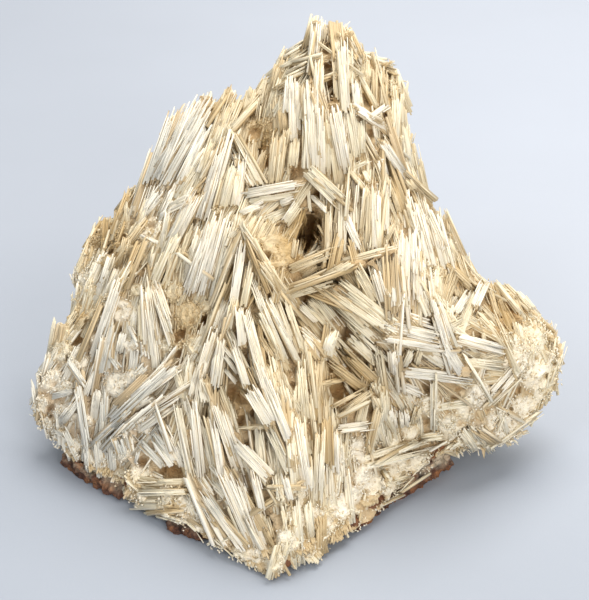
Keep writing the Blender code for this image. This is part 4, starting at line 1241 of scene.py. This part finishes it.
def shade_laths(laths, skin):
    """Makes the laths of the display side cleaner or more stained, and paints light and shade on them, as
    the photograph shows.
    """
    middles = (laths.joined("foot") + laths.joined("tip")) / 2
    change = shade_at(pixels_of(middles))
    tone = laths.joined("tone")
    for index in np.flatnonzero(change):
        if seen_from_display(skin, middles[index]):
            tone[index] += change[index]
    laths.rows["tone"] = [tone]


def shade_at(pixels):
    """The tone that the spots of stain and painted light and shade add at pixels."""
    change = np.zeros(len(pixels))
    for across, down, radius, amount in STAIN_AND_PAINTED_LIGHT:
        gap = np.hypot(pixels[:, 0] - across, pixels[:, 1] - down) / radius
        change += amount * (1 - gap.clip(0, 1) ** 2)
    return change


# The places along a lath at which it is looked at, and the lowest that a lath may reach.
LATH_CHECKS = np.linspace(0.04, 0.96, 8)
CLEAR_OF_GROUND = 0.3 * MM


def clear_openings(laths, skin):
    """Leaves out the laths that lie across the openings and the rusty spots of the display side."""
    foot, tip = laths.joined("foot"), laths.joined("tip")
    inside = np.zeros(len(foot), dtype=bool)
    for share in LATH_CHECKS:
        pixels = pixels_of(foot + (tip - foot) * share)
        inside |= in_spots(pixels, OPENINGS, OPENING_CLEARED)[0] >= 0
        inside |= in_spots(pixels, RUST, RUST_CLEARED)[0] >= 0
    stay = np.ones(len(foot), dtype=bool)
    for index in np.flatnonzero(inside):
        stay[index] = not seen_from_display(skin, (foot[index] + tip[index]) / 2)
    laths.keep(stay)


class Growth:
    """All the laths of the mass, and its core, worked out once."""

    batches = {}
    core = None


# The grown sheaves' pieces, and the width of those in front as a share of that of the others.
GROWN_BATCHES = ("front_left_sheaves", "front_right_sheaves", "back_left_sheaves", "back_right_sheaves")
FRONT_FINENESS = 0.78


def growth(scene):
    """The mass's core and its batches of laths, with their openness."""
    if Growth.core is not None:
        return Growth
    sizes = scene.cerussite_laths
    mesh = merged_copy("crystals")
    skin = skin_of(mesh)
    placed = placed_sheaves(skin, sizes)
    grain = Grain(placed)
    draw = np.random.default_rng(SEED)
    batches = {name: Laths() for name in ("display_sheaves", *GROWN_BATCHES)}
    for sheaf in placed:
        sheaf_into(batches["display_sheaves"], draw, sheaf, sizes, (sizes.placed_least, sizes.placed_most))
    for layer in LAYERS.values():
        for sheaf in grown_sheaves(skin, mesh, grain, placed, layer):
            end = "front" if sheaf.foot[1] < 0.0 else "back"
            hand = "left" if sheaf.foot[0] < 0.0 else "right"
            fineness = FRONT_FINENESS if end == "front" else 1.0
            lath_width = (sizes.grown_least * fineness, sizes.grown_most * fineness)
            sheaf_into(batches[f"{end}_{hand}_sheaves"], draw, sheaf, sizes, lath_width)
    batches["druse_grains"] = druse_grains(mesh, skin, grain)
    core = roughened_copy("crystals", "crystal_core", scene.cerussite_core, CORE_SEED)
    hollow_out(core, skin)
    for name, laths in batches.items():
        laths.drop_below(CLEAR_OF_GROUND)
        if name != "display_sheaves":
            clear_openings(laths, skin)
        shade_laths(laths, skin)
    find_openness(list(batches.values()), core)
    # Grains lie close among their neighbours, so their painted shade is made lighter.
    batches["druse_grains"].openness += GRAIN_OPENNESS
    Growth.batches = batches
    Growth.core = core
    return Growth


# Materials

class NodeTree:
    """Adds nodes to a tree, and sets or links their inputs."""

    def __init__(self, tree):
        self.tree = tree

    def add(self, kind, inputs=None, **settings):
        """A node with its settings, and its inputs set to values or linked to outputs."""
        node = self.tree.nodes.new(kind)
        for name, value in settings.items():
            setattr(node, name, value)
        for name, value in (inputs or {}).items():
            if isinstance(value, bpy.types.NodeSocket):
                self.link(value, node, name)
            else:
                node.inputs[name].default_value = value
        return node

    def number(self, operation, first, second, third=None):
        """The result of a sum on numbers or outputs."""
        inputs = {0: first, 1: second}
        if third is not None:
            inputs[2] = third
        return self.add("ShaderNodeMath", inputs, operation=operation).outputs[0]

    def mixed(self, share, first, second):
        """A colour between two, by a share."""
        node = self.add("ShaderNodeMix", {0: share, 6: first, 7: second}, data_type="RGBA")
        return node.outputs[2]

    def mapped(self, value, low, high, to_low=0.0, to_high=1.0):
        """A value drawn from one span onto another, and held inside it."""
        inputs = {"Value": value, "From Min": low, "From Max": high, "To Min": to_low, "To Max": to_high}
        return self.add("ShaderNodeMapRange", inputs).outputs["Result"]

    def clouds(self, place, scale, detail):
        """Soft noise at a place, as a number and as a colour."""
        return self.add("ShaderNodeTexNoise", {"Vector": place, "Scale": scale, "Detail": detail}).outputs

    def scaled(self, colour, amount):
        """A colour made lighter or darker."""
        return self.add("ShaderNodeVectorMath", {0: colour, "Scale": amount}, operation="SCALE").outputs[0]

    def attribute(self, name):
        """A number that the mesh holds for each point."""
        return self.add("ShaderNodeAttribute", attribute_name=name).outputs["Fac"]

    def group(self, name, build, inputs):
        """The outputs of a node group, which is built on its first use."""
        made = bpy.data.node_groups.get(name) or build(name)
        return self.add("ShaderNodeGroup", inputs, node_tree=made).outputs

    def link(self, output, node, name):
        """Links an output to a node's input of that name."""
        self.tree.links.new(output, node.inputs[name])

    def surface(self, shader, colour, roughness, height, strength, distance):
        """Gives a shader its colour, its roughness and the bumps of a height."""
        bump = self.add("ShaderNodeBump", {"Strength": strength, "Distance": distance, "Height": height})
        self.link(colour, shader, "Base Color")
        self.link(roughness, shader, "Roughness")
        self.link(bump.outputs[0], shader, "Normal")


def new_group(name, inputs, outputs):
    """A shader node group with its sockets, its tree, and the nodes that stand for them."""
    group = bpy.data.node_groups.new(name, "ShaderNodeTree")
    for label, kind, value in inputs:
        socket = group.interface.new_socket(name=label, in_out="INPUT", socket_type=kind)
        if value is not None:
            socket.default_value = value
    for label, kind in outputs:
        group.interface.new_socket(name=label, in_out="OUTPUT", socket_type=kind)
    tree = NodeTree(group)
    return group, tree, tree.add("NodeGroupInput").outputs, tree.add("NodeGroupOutput")


def stain_group(name):
    """Blotches of iron stain: a mask from two sizes of noise."""
    inputs = (
        ("Vector", "NodeSocketVector", None), ("Scale", "NodeSocketFloat", 90.0),
        ("Cover", "NodeSocketFloat", 0.5), ("Softness", "NodeSocketFloat", 0.12),
    )
    group, tree, given, out = new_group(name, inputs, (("Mask", "NodeSocketFloat"),))
    broad = tree.clouds(given["Vector"], given["Scale"], 5.0)["Fac"]
    fine = tree.clouds(given["Vector"], tree.number("MULTIPLY", given["Scale"], 5.3), 3.0)["Fac"]
    both = tree.number("MULTIPLY_ADD", fine, 0.35, broad)
    level = tree.number("SUBTRACT", 1.0, given["Cover"])
    level = tree.number("MULTIPLY_ADD", level, 0.7, 0.32)
    low = tree.number("SUBTRACT", level, given["Softness"])
    high = tree.number("ADD", level, given["Softness"])
    tree.link(tree.mapped(both, low, high), out, "Mask")
    return group


def granule_group(name):
    """Fine crystal grains: a height, and a shade that differs from grain to grain."""
    inputs = (("Vector", "NodeSocketVector", None), ("Scale", "NodeSocketFloat", 900.0))
    outputs = (("Height", "NodeSocketFloat"), ("Shade", "NodeSocketFloat"))
    group, tree, given, out = new_group(name, inputs, outputs)
    moved = tree.scaled(tree.clouds(given["Vector"], 500.0, 2.0)["Color"], 1.2 * MM)
    place = tree.add("ShaderNodeVectorMath", {0: given["Vector"], 1: moved}, operation="ADD")
    cells = tree.add("ShaderNodeTexVoronoi", {"Vector": place.outputs[0], "Scale": given["Scale"]})
    dome = tree.number("SUBTRACT", 1.0, cells.outputs["Distance"])
    fine = tree.clouds(given["Vector"], 2600.0, 2.0)["Fac"]
    height = tree.number("MULTIPLY_ADD", fine, 0.35, dome)
    split = tree.add("ShaderNodeSeparateColor", {0: cells.outputs["Color"]})
    tree.link(height, out, "Height")
    tree.link(split.outputs[0], out, "Shade")
    return group


def stain_and_shade_group(name):
    """Crystal colour from a tone, warmed and darkened where the place lies deep: iron stain and painted
    shade.
    """
    inputs = (
        ("Tone", "NodeSocketFloat", 0.5), ("Hollow", "NodeSocketFloat", 0.0),
        ("White", "NodeSocketColor", None), ("Cream", "NodeSocketColor", None),
        ("Tan", "NodeSocketColor", None), ("Stain", "NodeSocketColor", None),
        ("Frost", "NodeSocketColor", None),
    )
    group, tree, given, out = new_group(name, inputs, (("Color", "NodeSocketColor"),))
    colour = tree.mixed(tree.mapped(given["Tone"], 0.1, TONE_SPAN[0]), given["Tan"], given["Stain"])
    colour = tree.mixed(tree.mapped(given["Tone"], 0.1, 0.55), colour, given["Cream"])
    colour = tree.mixed(tree.mapped(given["Tone"], 0.5, 1.0), colour, given["White"])
    # Tones over 1 turn frosty, which also paints cool shade.
    colour = tree.mixed(tree.mapped(given["Tone"], 1.0, TONE_SPAN[1]), colour, given["Frost"])
    # Iron stain and painted shade, by how deep the place lies.
    colour = tree.mixed(given["Hollow"], colour, given["Stain"])
    tree.link(colour, out, "Color")
    return group


def new_material(name):
    """A material with an empty tree, its principled shader, and the object's coordinates."""
    made = bpy.data.materials.new(name)
    made.use_nodes = True
    made.node_tree.nodes.clear()
    tree = NodeTree(made.node_tree)
    shader = tree.add("ShaderNodeBsdfPrincipled")
    tree.add("ShaderNodeOutputMaterial", {"Surface": shader.outputs[0]})
    place = tree.add("ShaderNodeTexCoord").outputs["Object"]
    return made, tree, shader, place


def crystal_colour(tree, colours, tone, hollow):
    """The crystals' colour at a tone and a hollowness, which adds iron stain and painted shade."""
    inputs = {
        "Tone": tone, "Hollow": hollow, "White": (*colours.white, 1), "Cream": (*colours.cream, 1),
        "Tan": (*colours.tan, 1), "Stain": (*colours.hollow, 1), "Frost": (*colours.frost_and_shade, 1),
    }
    return tree.group("iron staining", stain_and_shade_group, inputs)["Color"]


def blotches(tree, place, scale, cover, softness):
    """The stain mask at a place: how fine the blotches are, how much they cover, how soft their rims."""
    inputs = {"Vector": place, "Scale": scale, "Cover": cover, "Softness": softness}
    return tree.group("stain blotches", stain_group, inputs)["Mask"]


def granules(tree, place, scale):
    """Height and shade of fine grains at a place."""
    outputs = tree.group("crystal granules", granule_group, {"Vector": place, "Scale": scale})
    return outputs["Height"], outputs["Shade"]


def lath_material(colours):
    """Silky striated crystal, from white to tan, browned by stain and painted shade in the hollows."""
    made, tree, shader, place = new_material("cerussite_laths")
    uv = tree.add("ShaderNodeUVMap", uv_map="lath").outputs[0]
    drawn = tree.add("ShaderNodeMapping", {"Vector": uv, "Scale": (1.4, 0.10, 1.0)}).outputs[0]
    streaks = tree.clouds(drawn, 1.0, 3.0)["Fac"]
    tone = tree.number("MULTIPLY_ADD", streaks, 0.36, -0.18)
    tone = tree.number("ADD", tone, tree.attribute("tone"))
    blotch = blotches(tree, place, scale=110.0, cover=0.36, softness=0.22)
    tone = tree.number("MULTIPLY_ADD", blotch, -0.22, tone)
    # Iron stain and painted shade: the less open to the air a lath lies, the browner it is.
    hollow = tree.mapped(tree.attribute("openness"), 0.48, 0.06, 0.0, 0.75)
    colour = crystal_colour(tree, colours, tone, hollow)
    roughness = tree.mapped(streaks, 0.3, 0.7, colours.roughness + 0.12, colours.roughness - 0.1)
    tree.surface(shader, colour, roughness, streaks, strength=0.5, distance=0.2 * MM)
    shader.inputs["IOR"].default_value = 1.5
    return made


def druse_material(colours, looks):
    """Sugary druse between sheaves, brown from stain and painted shade in openings, rusty where rock shows.
    """
    made, tree, shader, place = new_material("cerussite_druse")
    height, shade = granules(tree, place, scale=1300.0)
    tone = tree.number("MULTIPLY_ADD", shade, 0.2, -0.1)
    tone = tree.number("ADD", tone, tree.attribute("tone"))
    blotch = blotches(tree, place, scale=160.0, cover=0.42, softness=0.2)
    colour = crystal_colour(tree, colours, tone, tree.number("MULTIPLY", blotch, 0.4))
    # Iron stain and painted shade: brown over the core between the laths, and deepest in the openings.
    colour = tree.mixed(tree.attribute("hollow"), colour, (*colours.deep, 1))
    patches = blotches(tree, place, scale=240.0, cover=0.45, softness=0.2)
    rock = tree.mixed(patches, (*looks.rust, 1), (*looks.ochre, 1))
    ragged = tree.number("MULTIPLY_ADD", shade, 0.5, tree.number("SUBTRACT", tree.attribute("rust"), 0.5))
    colour = tree.mixed(tree.mapped(ragged, 0.1, 0.3), colour, rock)
    roughness = tree.mapped(shade, 0.0, 1.0, 0.55, 0.85)
    tree.surface(shader, colour, roughness, height, strength=0.6, distance=0.4 * MM)
    return made


def rock_material(looks):
    """Rusty limonite: red brown with brighter stains and dark specks, and crusted above the ground."""
    made, tree, shader, place = new_material("iron_stained_rock")
    height, shade = granules(tree, place, scale=620.0)
    ochre = blotches(tree, place, scale=210.0, cover=0.40, softness=0.14)
    dark = blotches(tree, place, scale=330.0, cover=0.38, softness=0.08)
    colour = tree.mixed(ochre, (*looks.rust, 1), (*looks.ochre, 1))
    colour = tree.mixed(tree.number("MULTIPLY", dark, 0.85), colour, (*looks.dark, 1))
    level = tree.add("ShaderNodeSeparateXYZ", {0: place}).outputs["Z"]
    patches = blotches(tree, place, scale=110.0, cover=0.54, softness=0.06)
    crust = tree.number("MULTIPLY", patches, tree.mapped(level, 2 * MM, 11 * MM))
    colour = tree.mixed(crust, colour, (*looks.crust, 1))
    colour = tree.scaled(colour, tree.mapped(shade, 0.0, 1.0, 0.6, 1.35))
    roughness = tree.mapped(shade, 0.0, 1.0, 0.7, 0.95)
    tree.surface(shader, colour, roughness, height, strength=1.0, distance=0.8 * MM)
    return made


def floor_material(looks):
    """Matt pale paper with a faint mottle, and painted light: lighter away from the camera and to the right.
    """
    made, tree, shader, place = new_material("studio_floor")
    split = tree.add("ShaderNodeSeparateXYZ", {0: place})
    behind = tree.number("MINIMUM", split.outputs["Y"], 0.15)
    slope = tree.number("MULTIPLY_ADD", split.outputs["X"], 0.55, behind)
    share = tree.add("ShaderNodeMapRange", {"Value": slope, "From Min": -0.06, "From Max": 0.24})
    share.interpolation_type = "SMOOTHSTEP"
    colour = tree.mixed(share.outputs["Result"], (*looks.floor_near, 1), (*looks.floor_far, 1))
    mottle = tree.clouds(place, 14.0, 4.0)["Fac"]
    colour = tree.scaled(colour, tree.mapped(mottle, 0.3, 0.7, 0.985, 1.015))
    grain = tree.clouds(place, 1800.0, 2.0)["Fac"]
    roughness = tree.mapped(grain, 0.3, 0.7, 0.55, 0.7)
    tree.surface(shader, colour, roughness, grain, strength=0.15, distance=0.2 * MM)
    return made


# Pieces

def piece_of(name, mesh, material, node):
    """An object of the specimen that rides on its body and stands for a CAD node."""
    obj = bpy.data.objects.new(name, mesh)
    bpy.context.scene.collection.objects.link(obj)
    mesh.materials.clear()
    mesh.materials.append(material)
    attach(obj, "root")
    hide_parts(node)
    return obj


def lath_pieces(context, names):
    """Adds the pieces of those batches of laths."""
    made = growth(context.scene)
    material = bpy.data.materials.get("cerussite_laths") or lath_material(context.scene.cerussite_colours)
    for name in names:
        piece_of(name, mesh_of_laths(name, made.batches[name]), material, "crystals")


class CERUSSITE_OT_core(Operator):
    """Builds the drusy core that the laths are rooted in"""

    bl_idname = "cerussite.core"
    bl_label = "Drusy Core"

    def execute(self, context):
        made = growth(context.scene)
        material = druse_material(context.scene.cerussite_colours, context.scene.cerussite_rock)
        piece_of("crystal_core", made.core, material, "crystals")
        return {"FINISHED"}


class CERUSSITE_OT_display_sheaves(Operator):
    """Lays the sheaves of the display side"""

    bl_idname = "cerussite.display_sheaves"
    bl_label = "Display Sheaves"

    def execute(self, context):
        lath_pieces(context, ["display_sheaves"])
        return {"FINISHED"}


class CERUSSITE_OT_grown_sheaves(Operator):
    """Lays the grown sheaves on all sides of the mass"""

    bl_idname = "cerussite.grown_sheaves"
    bl_label = "Grown Sheaves"

    def execute(self, context):
        lath_pieces(context, GROWN_BATCHES)
        return {"FINISHED"}


class CERUSSITE_OT_grains(Operator):
    """Scatters the stubby crystals of the druse"""

    bl_idname = "cerussite.grains"
    bl_label = "Druse Grains"

    def execute(self, context):
        lath_pieces(context, ["druse_grains"])
        return {"FINISHED"}


class CERUSSITE_OT_rock(Operator):
    """Roughens and stains the rock under the crystals"""

    bl_idname = "cerussite.rock"
    bl_label = "Stained Rock"

    def execute(self, context):
        looks = context.scene.cerussite_rock
        rock = roughened_copy("matrix", "rock", looks, ROCK_SEED)
        piece_of("rock", rock, rock_material(looks), "matrix")
        return {"FINISHED"}


class CERUSSITE_OT_studio(Operator):
    """Sets up floor, light and camera"""

    bl_idname = "cerussite.studio"
    bl_label = "Studio"

    def execute(self, context):
        looks = context.scene.cerussite_studio
        add_floor(context.scene, looks)
        for name, (place, size, colour, setting) in LAMPS.items():
            add_lamp(context.scene, name, place, size, getattr(looks, setting), colour)
        add_sky(context.scene, looks)
        add_camera(context.scene)
        context.scene.view_settings.view_transform = "Standard"
        return {"FINISHED"}


def add_floor(scene, looks):
    """A wide floor under the specimen."""
    bm = bmesh.new()
    bmesh.ops.create_grid(bm, x_segments=1, y_segments=1, size=FLOOR_REACH)
    mesh = bpy.data.meshes.new("floor")
    bm.to_mesh(mesh)
    bm.free()
    floor = bpy.data.objects.new("floor", mesh)
    scene.collection.objects.link(floor)
    mesh.materials.append(floor_material(looks))


def add_lamp(scene, name, place, size, power, colour):
    """A soft round lamp aimed at the specimen."""
    light = bpy.data.lights.new(name, "AREA")
    light.shape = "DISK"
    light.size = size
    light.energy = power
    light.color = colour
    lamp = bpy.data.objects.new(name, light)
    scene.collection.objects.link(lamp)
    lamp.location = place
    lamp.rotation_mode = "QUATERNION"
    lamp.rotation_quaternion = (lamp.location - VIEW_TARGET).to_track_quat("Z", "Y")


def add_sky(scene, looks):
    """Even light from all round."""
    world = bpy.data.worlds.new("studio")
    world.use_nodes = True
    background = world.node_tree.nodes["Background"]
    background.inputs["Color"].default_value = (*SKY_COLOUR, 1)
    background.inputs["Strength"].default_value = looks.sky
    scene.world = world


def add_camera(scene):
    """The camera of the photograph."""
    camera = bpy.data.cameras.new("camera")
    camera.sensor_width = SENSOR_WIDTH
    camera.lens = SENSOR_WIDTH * VIEW_DISTANCE / (PIXEL_SPAN * PHOTO_HEIGHT)
    obj = bpy.data.objects.new("camera", camera)
    scene.collection.objects.link(obj)
    forward = Vector(middle_sight())
    obj.location = VIEW_TARGET - forward * VIEW_DISTANCE
    obj.rotation_mode = "QUATERNION"
    obj.rotation_quaternion = forward.to_track_quat("-Z", "Y")
    scene.camera = obj


class CERUSSITE_PT_panel(Panel):
    """Lists the specimen's settings and the steps that build it."""

    bl_label = "Cerussite Specimen"
    bl_idname = "CERUSSITE_PT_panel"
    bl_space_type = "VIEW_3D"
    bl_region_type = "UI"
    bl_category = "Cerussite"

    def draw(self, context):
        for name in SETTINGS:
            box = self.layout.box()
            settings = getattr(context.scene, name)
            for field in settings.__annotations__:
                box.prop(settings, field)
        for operator in OPERATORS:
            self.layout.operator(operator.bl_idname)


SETTINGS = {
    "cerussite_laths": LathSizes,
    "cerussite_colours": CrystalColours,
    "cerussite_core": CoreSizes,
    "cerussite_rock": RockLooks,
    "cerussite_studio": StudioLooks,
}
OPERATORS = (
    CERUSSITE_OT_core,
    CERUSSITE_OT_display_sheaves,
    CERUSSITE_OT_grown_sheaves,
    CERUSSITE_OT_grains,
    CERUSSITE_OT_rock,
    CERUSSITE_OT_studio,
)


def register():
    """Makes the settings, the steps and the panel known."""
    for name, group in SETTINGS.items():
        bpy.utils.register_class(group)
        setattr(bpy.types.Scene, name, PointerProperty(type=group))
    for operator in OPERATORS:
        bpy.utils.register_class(operator)
    bpy.utils.register_class(CERUSSITE_PT_panel)


def unregister():
    """Takes them back in the other order."""
    bpy.utils.unregister_class(CERUSSITE_PT_panel)
    for operator in reversed(OPERATORS):
        bpy.utils.unregister_class(operator)
    for name, group in reversed(SETTINGS.items()):
        delattr(bpy.types.Scene, name)
        bpy.utils.unregister_class(group)


def main():
    """Builds every piece and the stage."""
    register()
    bpy.ops.cerussite.core()
    bpy.ops.cerussite.display_sheaves()
    bpy.ops.cerussite.grown_sheaves()
    bpy.ops.cerussite.grains()
    bpy.ops.cerussite.rock()
    bpy.ops.cerussite.studio()


if __name__ == "__main__":
    main()
